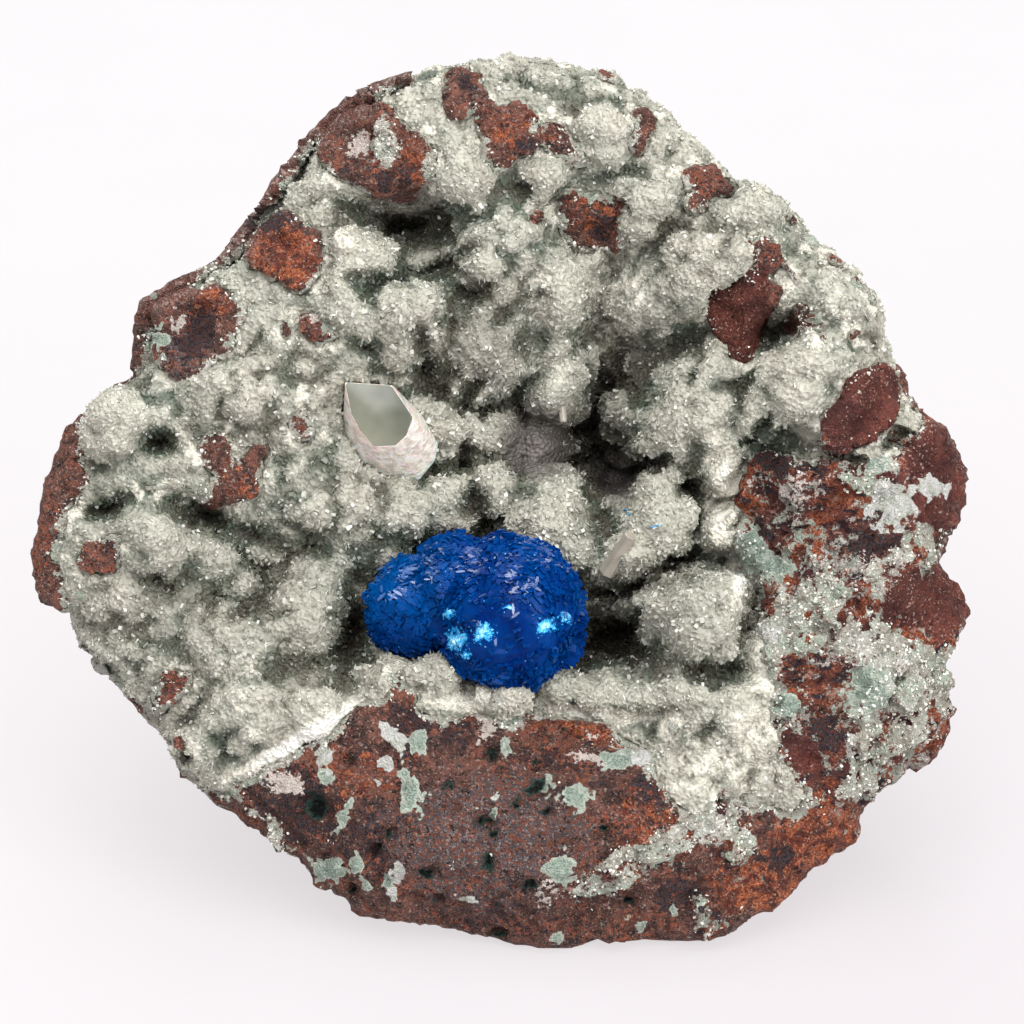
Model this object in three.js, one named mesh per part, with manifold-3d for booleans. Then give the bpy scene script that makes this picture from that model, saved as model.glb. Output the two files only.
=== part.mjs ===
// A cavansite specimen: a chunk of red basalt breccia whose hollow is lined with a druse of
// zeolite, with one blue cavansite rosette and one clear crystal grown on the druse.
//
// Millimetres. Everything is modelled in the frame of the specimen's face: x to the right, y up
// the face and z straight out of it. At the end the face leans back and the rock stands on its
// flat underside, +Z up, with the origin on the table under the middle of the specimen.

import * as THREE from 'three';
import { mergeVertices } from 'three/addons/utils/BufferGeometryUtils.js';
import { ConvexGeometry } from 'three/addons/geometries/ConvexGeometry.js';
import Module from 'manifold-3d';

const wasm = await Module();
wasm.setup();

// Driving dimensions, millimetres unless stated.
const SQUARE = 0.7; // side of one square of the face grid; outlines are given in squares
const FACE_LEAN = 30; // how far the face leans back from upright, degrees
const FACE_HEIGHT = 28.2; // height of the middle of the face above the table
const ROCK_DEPTH = 24; // how far the rock reaches behind the middle of the face
const DEPTH_TAPER = 0.28; // how much thinner it gets for each millimetre up the face
const EDGE_DROP = 3; // how far the face falls away at its broken edge
const CRUST = 1.7; // thickness of the zeolite crust
const LUMP_LEVEL = 0.65; // how deep a lump of the druse sits, as a share of its hollow's depth
const LUMP_SINK = 0.25; // how deep a lump's middle lies, as a share of its radius
const CRYSTAL_POINTS = 0.22; // how far the points of the druse stand up or lie back
const GAP = 0.3; // clear gap between two minerals
const FRAGMENT_RISE = 0.4; // how far a basalt fragment stands above the crust's base level
const FRAGMENT_ROOT = 3.5; // how deep a fragment sits in the rock under the crust
const SEAT_CLEARANCE = 0.5; // clear room round a lobe of the rosette, beyond its longest blades
const BLADE_RISE = 0.5; // how far the cavansite blades stand out of the ball
const EDGE_STEP = 3.8; // longest straight stretch of a broken edge
const DRUSE_STEP = 1.35; // size of the facets of the druse
const ROCK_STEP = 2.8; // size of the facets of the rock's face
const UNDERSIDE_STEP = 3.5; // size of the facets where the crust sits on the rock
const ROOT_SPREAD = 1.6; // how much wider each hollow is in the rock than in the crust, squares
const FACE_SPAN = 72; // side of the square that holds the whole face
const OUTSIDE = 20; // clear of the face, for cutting bodies
const DEEP = -60; // clear of the back of the rock
const BREAK_BLOCK = 200; // side of the blocks that flat breaks are cut with

const FACE_CENTRE = [0, 1.2];

// The broken outline of the rock, clockwise from the top.
const ROCK_OUTLINE = [
  [3.3, 45.6], [6.8, 44.5], [8.6, 44.4], [12, 42.4], [14, 41.4], [16.8, 38.6], [18.8, 37.2],
  [20, 35.6], [22.6, 33.6], [25, 32.6], [27.3, 30.7], [30.8, 26.7], [33.3, 25], [36.8, 21.2],
  [37.6, 17.2], [39.3, 13.4], [39.2, 12], [41, 9.4], [42.8, 8.8], [44.8, 6], [45.4, 3.4],
  [46.1, 1], [43.9, -1.8], [42.8, -3.6], [42.7, -5.4], [45, -8.3], [46.2, -10.2],
  [43.8, -12.6], [43, -15.3], [43.2, -19.3], [43.6, -23], [40.8, -25.3], [36, -27.6],
  [34.6, -30], [34.4, -32.8], [32, -34.3], [29.3, -36], [27.8, -38.3], [26, -39.9],
  [23.3, -40.9], [20.3, -43.2], [14.3, -43.2], [9.2, -42.6], [6.2, -44.1], [1.8, -44.3],
  [-2.2, -42.8], [-9.2, -40.8], [-14.4, -40.6], [-16.7, -38.4], [-19.2, -36.8],
  [-21.4, -34.3], [-25, -31.8], [-29.7, -28.8], [-33.2, -26], [-35.2, -22.6],
  [-38.6, -18.3], [-43.7, -13.3], [-44.2, -10.1], [-47, -9], [-47.9, -5.8], [-47.6, -2.8],
  [-46.5, 3.2], [-45.4, 6.9], [-43.2, 9.1], [-41.2, 11.4], [-37.7, 13.4], [-37.6, 17.2],
  [-37.2, 20.6], [-34.7, 22.7], [-29.5, 25], [-26.7, 29], [-23.2, 33.7], [-20.7, 37.4],
  [-17.7, 40.4], [-13.7, 43], [-8.2, 45], [-0.2, 45.6],
];

// Where the zeolite crust ends: the rock's own edge at the top and on the right, the inside of
// the weathered strip on the left, and the top of the broken lower face.
const CRUST_OUTLINE = [
  [3.3, 45.4], [6.8, 44.3], [8.6, 44.2], [12, 42.2], [14, 41.2], [16.8, 38.4], [18.8, 37],
  [20, 35.4], [22.6, 33.4], [25, 32.4], [27.3, 30.5], [30.8, 26.5], [33.3, 24.8], [36.6, 21.1],
  [37.4, 17.2], [39, 13.4], [39, 12], [41, 9.4], [38.8, 6.2], [36, 4.8], [24.8, 5.4],
  [23.3, 3.7], [22.3, 1.2], [23.3, -0.8], [23, -4.8], [24, -7.8], [25.6, -9.4], [25.3, -13.8],
  [26.3, -17.8], [25.8, -20.8], [27.3, -24.8], [28.8, -27.8], [27.8, -30], [25.3, -28.8],
  [22.8, -27.8], [20.8, -28.3], [17.8, -30.3], [15.6, -27.8], [13.4, -23.6], [8.8, -21],
  [4.8, -20.8], [-0.8, -19.6], [-7.2, -20.5], [-12.5, -18.6], [-14.9, -18.6], [-17.7, -20.9],
  [-23.2, -24.5], [-26.5, -26.2], [-29.5, -28.6], [-33, -26], [-35, -22.6], [-38.4, -18.3],
  [-43.5, -13.3], [-44, -10.1], [-45, -4.8], [-44.6, -2.8], [-44.2, 0.2], [-42.4, 2.7],
  [-42.8, 4.7], [-42.2, 6.5], [-42, 8.7], [-41, 11.4], [-37.6, 13.2], [-36.2, 15.2],
  [-36.4, 19.2], [-35, 21], [-29.2, 24.2], [-27, 26.4], [-25.4, 29.6], [-22.4, 33],
  [-20.6, 35.8], [-18.8, 38.2], [-16, 40.4], [-12.4, 42.2], [-8.2, 44.8], [-0.2, 45.4],
];

// Hollows in the face, x, y and half sizes in squares, then depth in mm; a rise is negative.
const HOLLOWS = [
  [7, 4.2, 18.5, 25, 9], // the vug
  [8.8, 6.2, 6.5, 8, 6.5], // its deepest hole
  [-11.7, 27.6, 5.8, 4.2, 7], // the cave under the upper left plateau
  [13.8, -6.4, 8, 2.6, 6], // the slit right of the ball
  [11, -14, 5, 2.8, 5], // the dark pocket over the lower rim
  [-16.7, -12.3, 3, 4.5, 4], // the gap left of the ball
  [-19, -7.2, 19, 7.2, 4], // the step under the left ledge and the clear crystal
  [-35.7, 6.9, 1.6, 1.4, 3.5],
  [-32.2, -0.3, 3, 1.8, 4],
  [-41.2, 0.4, 2, 1, 3],
  [26.7, 18.1, 2, 1.8, 4],
  [24, -10.3, 1.2, 3.5, 3],
  [13, 14, 2.4, 3.8, 2.5],
  [-1.2, -31.8, 25, 9, -1.8], // the swell of the lower face
  [33.8, -4.8, 9, 22, -1], // the swell of the right plateau
];

// Rounded lumps of the druse: x, y and radius in squares, then a lift in mm.
const LUMPS = [
  [-15.3, 25.6, 3.6, 2.4], [-8.8, 25.9, 2.5, 0], [-10.5, 19.3, 4.2, 0.5], [-3.4, 17.2, 5.7, 0],
  [-17.2, 20.2, 3, 0.5], [-7.2, 9.2, 3, 0], [0.8, 22.2, 3, 0], [3.3, 18.2, 3, 0],
  [5.3, 12.7, 3.3, 1], [-1.2, 27.2, 5, 0], [4.8, 23.2, 4.5, 0], [12.8, 8.9, 3.5, 2],
  [13.8, 14.2, 3, 0.5], [18.8, 9.2, 6, 0.5], [18.8, 24, 4.5, 0], [3.7, 7.1, 3.5, -1],
  [9.2, 3.5, 1.6, -2], [4.3, -0.8, 5, 1], [14.4, -1, 4.2, 1.5], [18.1, -10.8, 5.6, 2],
  [-20.5, -10.4, 4.2, 1.5], [-29.8, -6.7, 1.8, 0.5], [-35.6, -2.4, 3.8, 1],
  [-39.2, 8.6, 3.5, 0.8], [-28.2, -13.8, 5, 0], [-25.6, -19.4, 4.4, 0], [-31.2, -22.8, 2, 0],
  [5.5, -18, 2.2, 0.6], [9.5, -18.2, 2.2, 0.6], [13.8, -17.8, 2.6, 0.6], [18, -18.6, 3, 0.5],
  [22, -19.8, 2.6, 0.4], [-20.6, -19.4, 2.4, 0.3], [-12.2, -16.4, 2.2, 0.4],
  [-8, -16.4, 2, 0.2], [21.2, 4.6, 2.4, 0.3], [21.6, -1.4, 2, 0.3], [21, 14.6, 3, 0],
  [29.4, 14.8, 3.5, 0], [26.4, 10.4, 3, 0], [32.4, 20.4, 2.4, 0], [8.6, 37.4, 3, 0],
  [13, 30.8, 3.5, 0], [3.2, 33.4, 2.4, 0], [-5.2, 33.2, 3.4, 0], [9.2, 29.4, 3, 0],
  [13.8, 21.8, 3.5, 0], [24, 30, 2.8, 0], [22.6, 25.6, 2.4, 0], [-25.4, 12.2, 3.4, 0],
  [-31.2, 12.8, 3, 0], [-21.6, 9.8, 2.8, 0], [-20, 1.6, 2.4, 0], [-16, 0.6, 2.8, 0],
  [-11.2, 0.4, 3.2, 0], [-6, 1.2, 3, 0], [-23.2, -2, 2.4, 0], [-17.8, -4.6, 2.6, 0],
  [-12.8, -3.6, 2.4, 0], [-34.2, -10, 3, 0], [-38.4, -8.6, 2.4, 0], [-24.4, 18.6, 2.4, 0],
  [-33, 4.6, 2.4, 0], [-1.6, 7.6, 2.4, 0], [-1.8, 2, 2.6, 0], [9.6, -3.2, 2.2, 0.6],
];

// Angular basalt fragments that stand up through the crust.
const FRAGMENTS = [
  [[-12.7, 40.7], [-11.2, 38.7], [-8.7, 36.7], [-7.8, 35.2], [-8, 33.4], [-10, 31.4],
    [-14.2, 32.5], [-17.2, 33.2], [-19.2, 35.4], [-19.2, 37.2], [-16.7, 39.8]],
  [[-26, 26.8], [-25, 28.4], [-22.2, 30], [-21.2, 29], [-19.4, 27.7], [-19.6, 25.4],
    [-20.2, 22.7], [-21.2, 22.2], [-23.7, 24], [-26.6, 25.2]],
  [[-35.4, 20.6], [-33, 22], [-29.7, 22.7], [-28, 21.4], [-27.1, 19.4], [-28, 16.7],
    [-29.7, 15.2], [-31.2, 13.7], [-33.2, 13.3], [-35.6, 15.2]],
  [[-20.8, 19.4], [-19.6, 19.6], [-18.2, 19], [-17.4, 17.8], [-18.2, 16.7], [-19.7, 16.9],
    [-20.6, 17.7]],
  [[-6.2, 44], [-4.9, 44.6], [-3.7, 43.4], [-3.2, 42.2], [-3.4, 41.4], [-4.2, 41.6],
    [-4.2, 40], [-5.7, 39.4], [-6.5, 41.2]],
  [[-3.4, 41.6], [-1.7, 39.6], [0.3, 40.9], [1.8, 39.4], [2.3, 36.4], [0, 35.7],
    [-1.2, 34.7], [-2.2, 34.9], [-2.4, 36.7]],
  [[2.8, 38.7], [4.8, 38.5], [5.8, 37.2], [6.3, 36], [8, 35.2], [6.3, 34.7], [4.5, 35.4],
    [3.2, 37]],
  [[12.4, 40.4], [13.3, 40.2], [14.4, 38.7], [13.6, 37.7], [12.7, 35.6], [11.9, 36.4],
    [12.6, 38.2]],
  [[6.4, 32.4], [7.8, 31.6], [10.3, 31.7], [12.5, 32.4], [12.6, 30.2], [11.8, 27.8],
    [10.3, 26.1], [8.8, 27], [7.1, 25.4], [5.4, 27.4], [4.9, 29.7]],
  [[17.5, 33.7], [19.8, 34.6], [21, 33.4], [22.8, 32.6], [21.8, 31.7], [20, 32.2],
    [19.1, 31.2], [18.6, 29.9], [17.6, 30.2], [18, 31.7]],
  [[23.1, 27.5], [25, 27.4], [26.3, 26], [26.6, 24.7], [25.3, 24.4], [24, 25.7]],
  [[19, 23], [21, 23.3], [22.3, 22.6], [23.6, 23.6], [24.6, 24.6], [25, 23.1], [26.4, 22.2],
    [26.3, 20.7], [25.3, 19.2], [24.3, 16.7], [23, 14.7], [22, 15.2], [21.4, 17.2],
    [20.6, 18.7], [19.6, 20.7]],
  [[27.7, 19.7], [28.8, 20.5], [30, 20.4], [30.3, 18.7], [29.8, 17.7], [28.3, 17.7],
    [27.6, 18.7]],
  [[31.1, 7.2], [31.6, 9.7], [33.3, 11.2], [33.6, 12.7], [35, 13.7], [36.8, 14.6],
    [38, 14], [38.9, 13.2], [38.3, 9.7], [36.8, 8.2], [34.8, 6.7], [32.8, 6]],
  [[-31.2, 5.5], [-30.6, 6.9], [-29.3, 7.5], [-28.7, 6.2], [-28.2, 4.8], [-26.6, 4.6],
    [-25.8, 6.3], [-24.8, 6.3], [-25.4, 2.4], [-27.2, 1.6], [-29.7, 0.9], [-32.2, 1.8],
    [-29.6, 2.7], [-29.3, 4.4]],
  [[-22, 8.2], [-21.4, 10.7], [-20.7, 10.7], [-20.4, 9], [-19.8, 8.2], [-20.6, 7.2],
    [-21.6, 7.4]],
  [[-43.3, -5.3], [-42.6, -3.3], [-41.2, -2.8], [-39, -2.6], [-38.8, -5.6], [-41.7, -6],
    [-42.4, -6.6]],
  [[-12.4, -16.6], [-11, -16.4], [-9.4, -17], [-9.7, -18.8], [-10.7, -19.8], [-12, -19.2]],
  [[-35.4, -17.4], [-33.6, -16], [-32.4, -16.8], [-33.8, -18.8], [-35.4, -20.4],
    [-36.6, -19]],
];

// Flat breaks of the rock: the way each one faces once the rock stands, and its distance from
// the middle of the face, mm. The first is the underside that it stands on.
const BREAKS = [
  { facing: [0, 0, -1], distance: FACE_HEIGHT },
  { facing: [0, -0.75, -0.66], distance: 28.4 }, // the turned-up front of the underside
  { facing: [0.1, 0.97, -0.12], distance: 21.5 }, // the back
  { facing: [-0.72, 0.66, 0.2], distance: 30 },
  { facing: [0.68, 0.7, -0.22], distance: 25 },
  { facing: [-0.45, 0.62, -0.64], distance: 26 },
  { facing: [0.75, 0.15, -0.64], distance: 32.6 },
  { facing: [-0.8, 0.1, -0.6], distance: 31 },
];

// The clear crystal: the corners of its flat top and of its foot, in squares.
const CRYSTAL_TOP = [
  [-16.6, 12.9], [-12, 12.6], [-9.8, 9.4], [-10.5, 7.6], [-11.6, 6.6], [-13.7, 6.5],
  [-15.1, 8.1], [-16, 9.8],
];
const CRYSTAL_FOOT = [
  [-16.8, 13.1], [-12, 12.8], [-8.7, 9.4], [-7.4, 6.9], [-7.7, 5.2], [-9.3, 3.2],
  [-10.6, 2.8], [-12.8, 2.9], [-16.2, 3.9], [-17.2, 5.6], [-17, 9],
];
const CRYSTAL_TOP_Z = 1.6;
const CRYSTAL_FOOT_Z = -3.4;

// The lobes of the rosette: middle and half sizes, mm.
const LOBES = [
  { at: [-0.2, -7.1, -1.5], half: [4.9, 5.1, 4.9], detail: 4 },
  { at: [-3.9, -5.2, -1.9], half: [3.3, 3.1, 3.7], detail: 2 },
  { at: [-7.1, -6.7, -2.2], half: [2.8, 3.1, 2.9], detail: 2 },
];

const inMillimetres = (points) => points.map(([x, y]) => [x * SQUARE, y * SQUARE]);

// A gentle unevenness, between about -1 and 1, the same every time.
function unevenness(x, y, wave) {
  const a = Math.sin((x * 1.7 + y * 0.9) / wave + 1.3);
  const b = Math.sin((y * 1.9 - x * 0.7) / wave + 4.1);
  const c = Math.sin((x + y * 0.6) * 2.3 / wave + 0.4);
  return (a + b + a * b + c) / 3;
}

// A number between -1 and 1 that differs from place to place, the same every time.
function scatter(x, y, salt) {
  const wild = Math.sin(x * 12.9898 + y * 78.233 + salt * 37.719) * 43758.5453;
  return 2 * (wild - Math.floor(wild)) - 1;
}

// Splits the long edges of an outline and turns it anticlockwise.
function brokenOutline(points, longest) {
  const ring = [];
  points.forEach((p, i) => {
    const q = points[(i + 1) % points.length];
    const pieces = Math.ceil(Math.hypot(q[0] - p[0], q[1] - p[1]) / longest);
    for (let k = 0; k < pieces; k++) {
      const t = k / pieces;
      ring.push([p[0] + (q[0] - p[0]) * t, p[1] + (q[1] - p[1]) * t]);
    }
  });
  return ring.reverse();
}

// Moves every corner of an anticlockwise outline outwards by a distance.
function grown(ring, by) {
  return ring.map((p, i) => {
    const a = ring[(i + ring.length - 1) % ring.length];
    const b = ring[(i + 1) % ring.length];
    const u = new THREE.Vector2(p[0] - a[0], p[1] - a[1]).normalize();
    const v = new THREE.Vector2(b[0] - p[0], b[1] - p[1]).normalize();
    const out = new THREE.Vector2(u.y + v.y, -u.x - v.x).normalize();
    const reach = by / Math.max(0.6, out.dot(new THREE.Vector2(u.y, -u.x)));
    return [p[0] + out.x * reach, p[1] + out.y * reach];
  });
}

const rockRing = brokenOutline(inMillimetres(ROCK_OUTLINE), EDGE_STEP);
const crustRing = brokenOutline(inMillimetres(CRUST_OUTLINE), EDGE_STEP);
const faceCentre = inMillimetres([FACE_CENTRE])[0];

// How far out a place is on the face: 0 in the middle, 1 on the rock's edge.
function outwardness(x, y) {
  const dx = x - faceCentre[0];
  const dy = y - faceCentre[1];
  let reach = 0;
  rockRing.forEach((p, i) => {
    const q = rockRing[(i + 1) % rockRing.length];
    const px = p[0] - faceCentre[0];
    const py = p[1] - faceCentre[1];
    const ex = q[0] - p[0];
    const ey = q[1] - p[1];
    const cross = dx * ey - dy * ex;
    const along = (px * ey - py * ex) / cross;
    const across = (px * dy - py * dx) / cross;
    if (along > 0 && across >= 0 && across <= 1) reach = Math.max(reach, 1 / along);
  });
  return reach;
}

// The height of the face, before any druse or fragment; its hollows can be spread wider.
function faceHeight(x, y, spread = 0) {
  let z = 0;
  for (const [hx, hy, halfX, halfY, depth] of HOLLOWS) {
    const across = (x / SQUARE - hx) / (halfX + spread);
    const up = (y / SQUARE - hy) / (halfY + spread);
    const r = across * across + up * up;
    z -= depth * Math.exp(-r * r);
  }
  const edge = Math.max(0, outwardness(x, y) - 0.8) / 0.2;
  return z - EDGE_DROP * edge * edge + 0.35 * unevenness(x, y, 3);
}

// The height of the druse: the face with its rounded lumps and the points of its crystals.
function druseHeight(x, y) {
  let z = faceHeight(x, y);
  for (const [lx, ly, radius, lift] of LUMPS) {
    const r = radius * SQUARE;
    const d = Math.hypot(x - lx * SQUARE, y - ly * SQUARE);
    if (d >= r) continue;
    const middle = LUMP_LEVEL * faceHeight(lx * SQUARE, ly * SQUARE) - LUMP_SINK * r + lift;
    z = Math.max(z, middle + Math.sqrt(r * r - d * d));
  }
  return z + CRYSTAL_POINTS * scatter(x, y, 1);
}

// Turns a closed three.js geometry into a solid for joining and cutting.
function solid(geometry) {
  geometry.deleteAttribute('normal');
  geometry.deleteAttribute('uv');
  const merged = mergeVertices(geometry, 1e-4);
  const mesh = new wasm.Mesh({
    numProp: 3,
    vertProperties: merged.attributes.position.array,
    triVerts: new Uint32Array(merged.index.array),
  });
  return new wasm.Manifold(mesh);
}

// One row of points on the way from the middle out to an outline, at a height function.
function row(ring, centre, share, height) {
  return ring.map(([px, py]) => {
    const x = centre[0] + (px - centre[0]) * share;
    const y = centre[1] + (py - centre[1]) * share;
    return [x, y, height(x, y)];
  });
}

// A closed body made of rows of points: a sphere whose rings are laid on the rows, from the
// middle of its front over the outline to the middle of its back.
function shell(rows) {
  const count = rows[0].length;
  const geometry = new THREE.SphereGeometry(1, count, rows.length - 1);
  rows.forEach((points, j) => {
    for (let i = 0; i <= count; i++) {
      geometry.attributes.position.setXYZ(j * (count + 1) + i, ...points[i % count]);
    }
  });
  return solid(geometry);
}

// An upright prism between two height functions.
function prism(points, low, high) {
  const shape = new THREE.Shape(points.map(([x, y]) => new THREE.Vector2(x, y)));
  const geometry = new THREE.ExtrudeGeometry(shape, { depth: 1, bevelEnabled: false });
  const position = geometry.attributes.position;
  for (let i = 0; i < position.count; i++) {
    const height = position.getZ(i) > 0.5 ? high : low;
    position.setZ(i, height(position.getX(i), position.getY(i)));
  }
  return solid(geometry);
}

const level = (z) => () => z;
const above = (rise) => (x, y) => faceHeight(x, y) + rise;
const rootSurface = (drop) => (x, y) => faceHeight(x, y, ROOT_SPREAD) - drop;

// A block over the whole face between two height functions, in facets of a given size whose
// corners are shifted about.
function sheet(step, low, high) {
  const cells = Math.round(FACE_SPAN / step);
  const geometry = new THREE.BoxGeometry(FACE_SPAN, FACE_SPAN, 1, cells, cells, 1);
  const position = geometry.attributes.position;
  for (let i = 0; i < position.count; i++) {
    const gx = position.getX(i);
    const gy = position.getY(i);
    const x = gx + 0.3 * step * scatter(gx, gy, 2);
    const y = gy + 0.3 * step * scatter(gx, gy, 3);
    const height = position.getZ(i) > 0 ? high : low;
    position.setXYZ(i, x, y, height(x, y));
  }
  return solid(geometry);
}

// The crust's own room: everything in front of its underside, within its outline. The rock's
// pocket for it is the same room, moved out and down by the gap.
function crustRoom(gap) {
  const within = prism(grown(crustRing, gap), level(DEEP), level(OUTSIDE + 1));
  return sheet(UNDERSIDE_STEP, rootSurface(CRUST + gap), level(OUTSIDE)).intersect(within);
}

// The flat-topped clear crystal; grown a little, it is the seat it has in the crust.
function crystal(by) {
  const corners = (points, z) =>
    grown(inMillimetres(points).reverse(), by).map(([x, y]) => new THREE.Vector3(x, y, z));
  const top = corners(CRYSTAL_TOP, CRYSTAL_TOP_Z + by);
  const foot = corners(CRYSTAL_FOOT, CRYSTAL_FOOT_Z - by);
  return solid(new ConvexGeometry([...top, ...foot]));
}

// One lobe of the rosette: a faceted ball whose corners are blade tips, some longer than others.
// Grown a little and left even, it is the seat it has in the crust.
function lobe({ at, half, detail }, tips, by) {
  const geometry = new THREE.IcosahedronGeometry(1, detail);
  const position = geometry.attributes.position;
  for (let i = 0; i < position.count; i++) {
    const p = new THREE.Vector3().fromBufferAttribute(position, i);
    const length = tips * Math.abs(Math.sin(p.x * 31 + p.y * 47 + p.z * 23));
    const [x, y, z] = half.map((one) => one + by + length);
    position.setXYZ(i, p.x * x, p.y * y, p.z * z);
  }
  geometry.translate(...at);
  return solid(geometry);
}

const joined = (solids) => solids.reduce((all, next) => all.add(next));

// The small stubby prism grown into the crust right of the ball.
function stubbyPrism() {
  const geometry = new THREE.CylinderGeometry(0.9, 1.1, 7, 6);
  geometry.rotateZ(-0.5);
  geometry.rotateX(1.1);
  geometry.translate(7.2, -3.9, -5);
  return solid(geometry);
}

// The frame of the face leans back and stands on the table.
const standing = new THREE.Matrix4()
  .makeRotationX(THREE.MathUtils.degToRad(90 - FACE_LEAN))
  .setPosition(0, 0, FACE_HEIGHT);
const lying = standing.clone().invert();

// A block that takes away everything beyond a plane, for a flat break or the flat underside.
function beyond({ facing, distance }) {
  const geometry = new THREE.BoxGeometry(BREAK_BLOCK, BREAK_BLOCK, BREAK_BLOCK);
  geometry.translate(0, 0, distance + BREAK_BLOCK / 2);
  const out = new THREE.Vector3(...facing).normalize();
  const straight = new THREE.Vector3(0, 0, 1);
  geometry.applyQuaternion(new THREE.Quaternion().setFromUnitVectors(straight, out));
  geometry.translate(0, 0, FACE_HEIGHT);
  geometry.applyMatrix4(lying);
  return solid(geometry);
}

// The whole chunk of rock: the face in front, rough broken sides and back behind it.
function rock() {
  const front = [0, 1].map((share) => row(rockRing, faceCentre, share, level(OUTSIDE)));
  const back = [[1, 0.22], [0.97, 0.5], [0.9, 0.75], [0.72, 0.92], [0.4, 1], [0, 1.04]];
  const behind = back.map(([share, deep]) => row(rockRing, faceCentre, share, (x, y) => {
    const depth = ROCK_DEPTH - DEPTH_TAPER * y;
    return -deep * depth + 0.8 * unevenness(x, y, 4.5);
  }));
  return shell([...front, ...behind]).intersect(sheet(ROCK_STEP, level(DEEP), faceHeight));
}

function basaltMatrix(seats) {
  const cuts = [crustRoom(GAP), ...BREAKS.map(beyond)];
  let body = cuts.reduce((left, cut) => left.subtract(cut), rock());
  for (const points of FRAGMENTS) {
    const root = rootSurface(CRUST + FRAGMENT_ROOT);
    body = body.add(prism(inMillimetres(points), root, above(FRAGMENT_RISE)));
  }
  return seats.reduce((left, seat) => left.subtract(seat), body);
}

function zeoliteCrust(seats) {
  const druse = sheet(DRUSE_STEP, level(DEEP), druseHeight).add(stubbyPrism());
  const cuts = FRAGMENTS.map((points) =>
    prism(grown(inMillimetres(points).reverse(), GAP), level(DEEP), level(OUTSIDE)));
  const crust = druse.intersect(crustRoom(0));
  return [...cuts, ...seats].reduce((left, cut) => left.subtract(cut), crust);
}

function cavansiteBall() {
  return joined(LOBES.map((one) => lobe(one, BLADE_RISE, 0)));
}

function mesh(name, body, material) {
  const { vertProperties, triVerts } = body.getMesh();
  const geometry = new THREE.BufferGeometry();
  geometry.setAttribute('position', new THREE.BufferAttribute(vertProperties, 3));
  geometry.setIndex(new THREE.BufferAttribute(triVerts, 1));
  const flat = geometry.toNonIndexed();
  flat.computeVertexNormals();
  const made = new THREE.Mesh(flat, new THREE.MeshStandardMaterial(material));
  made.name = name;
  return made;
}

const lobeSeats = LOBES.map((one) => lobe({ ...one, detail: 1 }, 0, BLADE_RISE + SEAT_CLEARANCE));
const seats = [crystal(GAP), ...lobeSeats];

const face = new THREE.Group();
face.applyMatrix4(standing);
face.add(mesh('basalt_matrix', basaltMatrix(seats), { color: 0x6b3a30, roughness: 0.85 }));
face.add(mesh('zeolite_crust', zeoliteCrust(seats), { color: 0xb9bfb2, roughness: 0.5 }));
face.add(mesh('cavansite_ball', cavansiteBall(), { color: 0x0a47a9, roughness: 0.3 }));
face.add(mesh('calcite_crystal', crystal(0), { color: 0xc9c8c0, roughness: 0.1 }));

const specimen = new THREE.Group();
specimen.add(face);
const bounds = new THREE.Box3().setFromObject(specimen, true);
const middle = bounds.getCenter(new THREE.Vector3());
specimen.position.set(-middle.x, -middle.y, -bounds.min.z);

const group = new THREE.Group();
group.add(specimen);

export default group;
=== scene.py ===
# %% [markdown]
# # A cavansite on its druse
#
# A cavansite specimen is four minerals in one hand-sized piece: a chunk of red basalt breccia, a
# crust of tiny zeolite crystals that lines the hollow in it, one ball of blue cavansite blades and
# one clear crystal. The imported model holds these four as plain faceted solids. This file dresses
# each of them in the surface that the mineral has, and adds the crystals too small for a solid.

import math

import bmesh
import bpy
import numpy as np
from mathutils import Matrix, Vector, noise
from mathutils.bvhtree import BVHTree


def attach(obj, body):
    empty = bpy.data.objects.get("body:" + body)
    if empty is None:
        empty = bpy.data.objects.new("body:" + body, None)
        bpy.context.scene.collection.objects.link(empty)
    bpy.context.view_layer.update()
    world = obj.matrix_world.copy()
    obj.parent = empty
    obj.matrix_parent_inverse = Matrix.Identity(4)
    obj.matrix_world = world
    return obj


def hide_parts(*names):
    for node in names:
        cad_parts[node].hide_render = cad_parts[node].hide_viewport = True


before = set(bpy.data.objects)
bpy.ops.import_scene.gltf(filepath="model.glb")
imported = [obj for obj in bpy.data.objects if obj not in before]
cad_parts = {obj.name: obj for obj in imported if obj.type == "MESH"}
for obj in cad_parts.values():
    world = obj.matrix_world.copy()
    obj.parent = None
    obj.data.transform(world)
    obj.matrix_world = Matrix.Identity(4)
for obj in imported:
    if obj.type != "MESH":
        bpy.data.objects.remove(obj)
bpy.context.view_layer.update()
MM = 0.001
noise.seed_set(3)  # without this the wandering noise would differ from run to run

# %% [markdown]
# ## The face of the specimen
#
# The rock stands on its end and its face leans back. Everything that lies on the face is easier to
# place in the face's own frame: x to the right, y up the face and z straight out of it, counted
# from the middle of the face. One turn about the x axis and one shift take such a place to where
# it is on the standing rock, and the same turn the other way round takes a vertex to the face.

# %% The frame of the face
FACE_LEAN = math.radians(30)
FACE_MIDDLE = Vector((0.595, -5.264, 28.2)) * MM
SQUARE = 0.7 * MM  # one square of the grid that places on the face are counted in

face_turn = Matrix.Rotation(math.pi / 2 - FACE_LEAN, 3, "X")
TURN = np.array(face_turn)
MIDDLE = np.array(FACE_MIDDLE)
OUT_OF_FACE = face_turn @ Vector((0, 0, 1))


def on_face(points):
    """Places in the face's frame, in squares, for points of the standing rock in metres."""
    return (np.asarray(points) - MIDDLE) @ TURN / SQUARE


def standing(places):
    """Points of the standing rock in metres, for places in the face's frame in squares."""
    return np.asarray(places) * SQUARE @ TURN.T + MIDDLE


# %% [markdown]
# ## Helpers for dense meshes
#
# A rough mineral surface is too irregular to model by hand. The way used here is to start from the
# solid, give it an even skin of small faces with a Remesh modifier, and move each vertex along its
# normal by a sum of noises. Numpy holds all the vertices in one array, so this stays quick.

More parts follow.
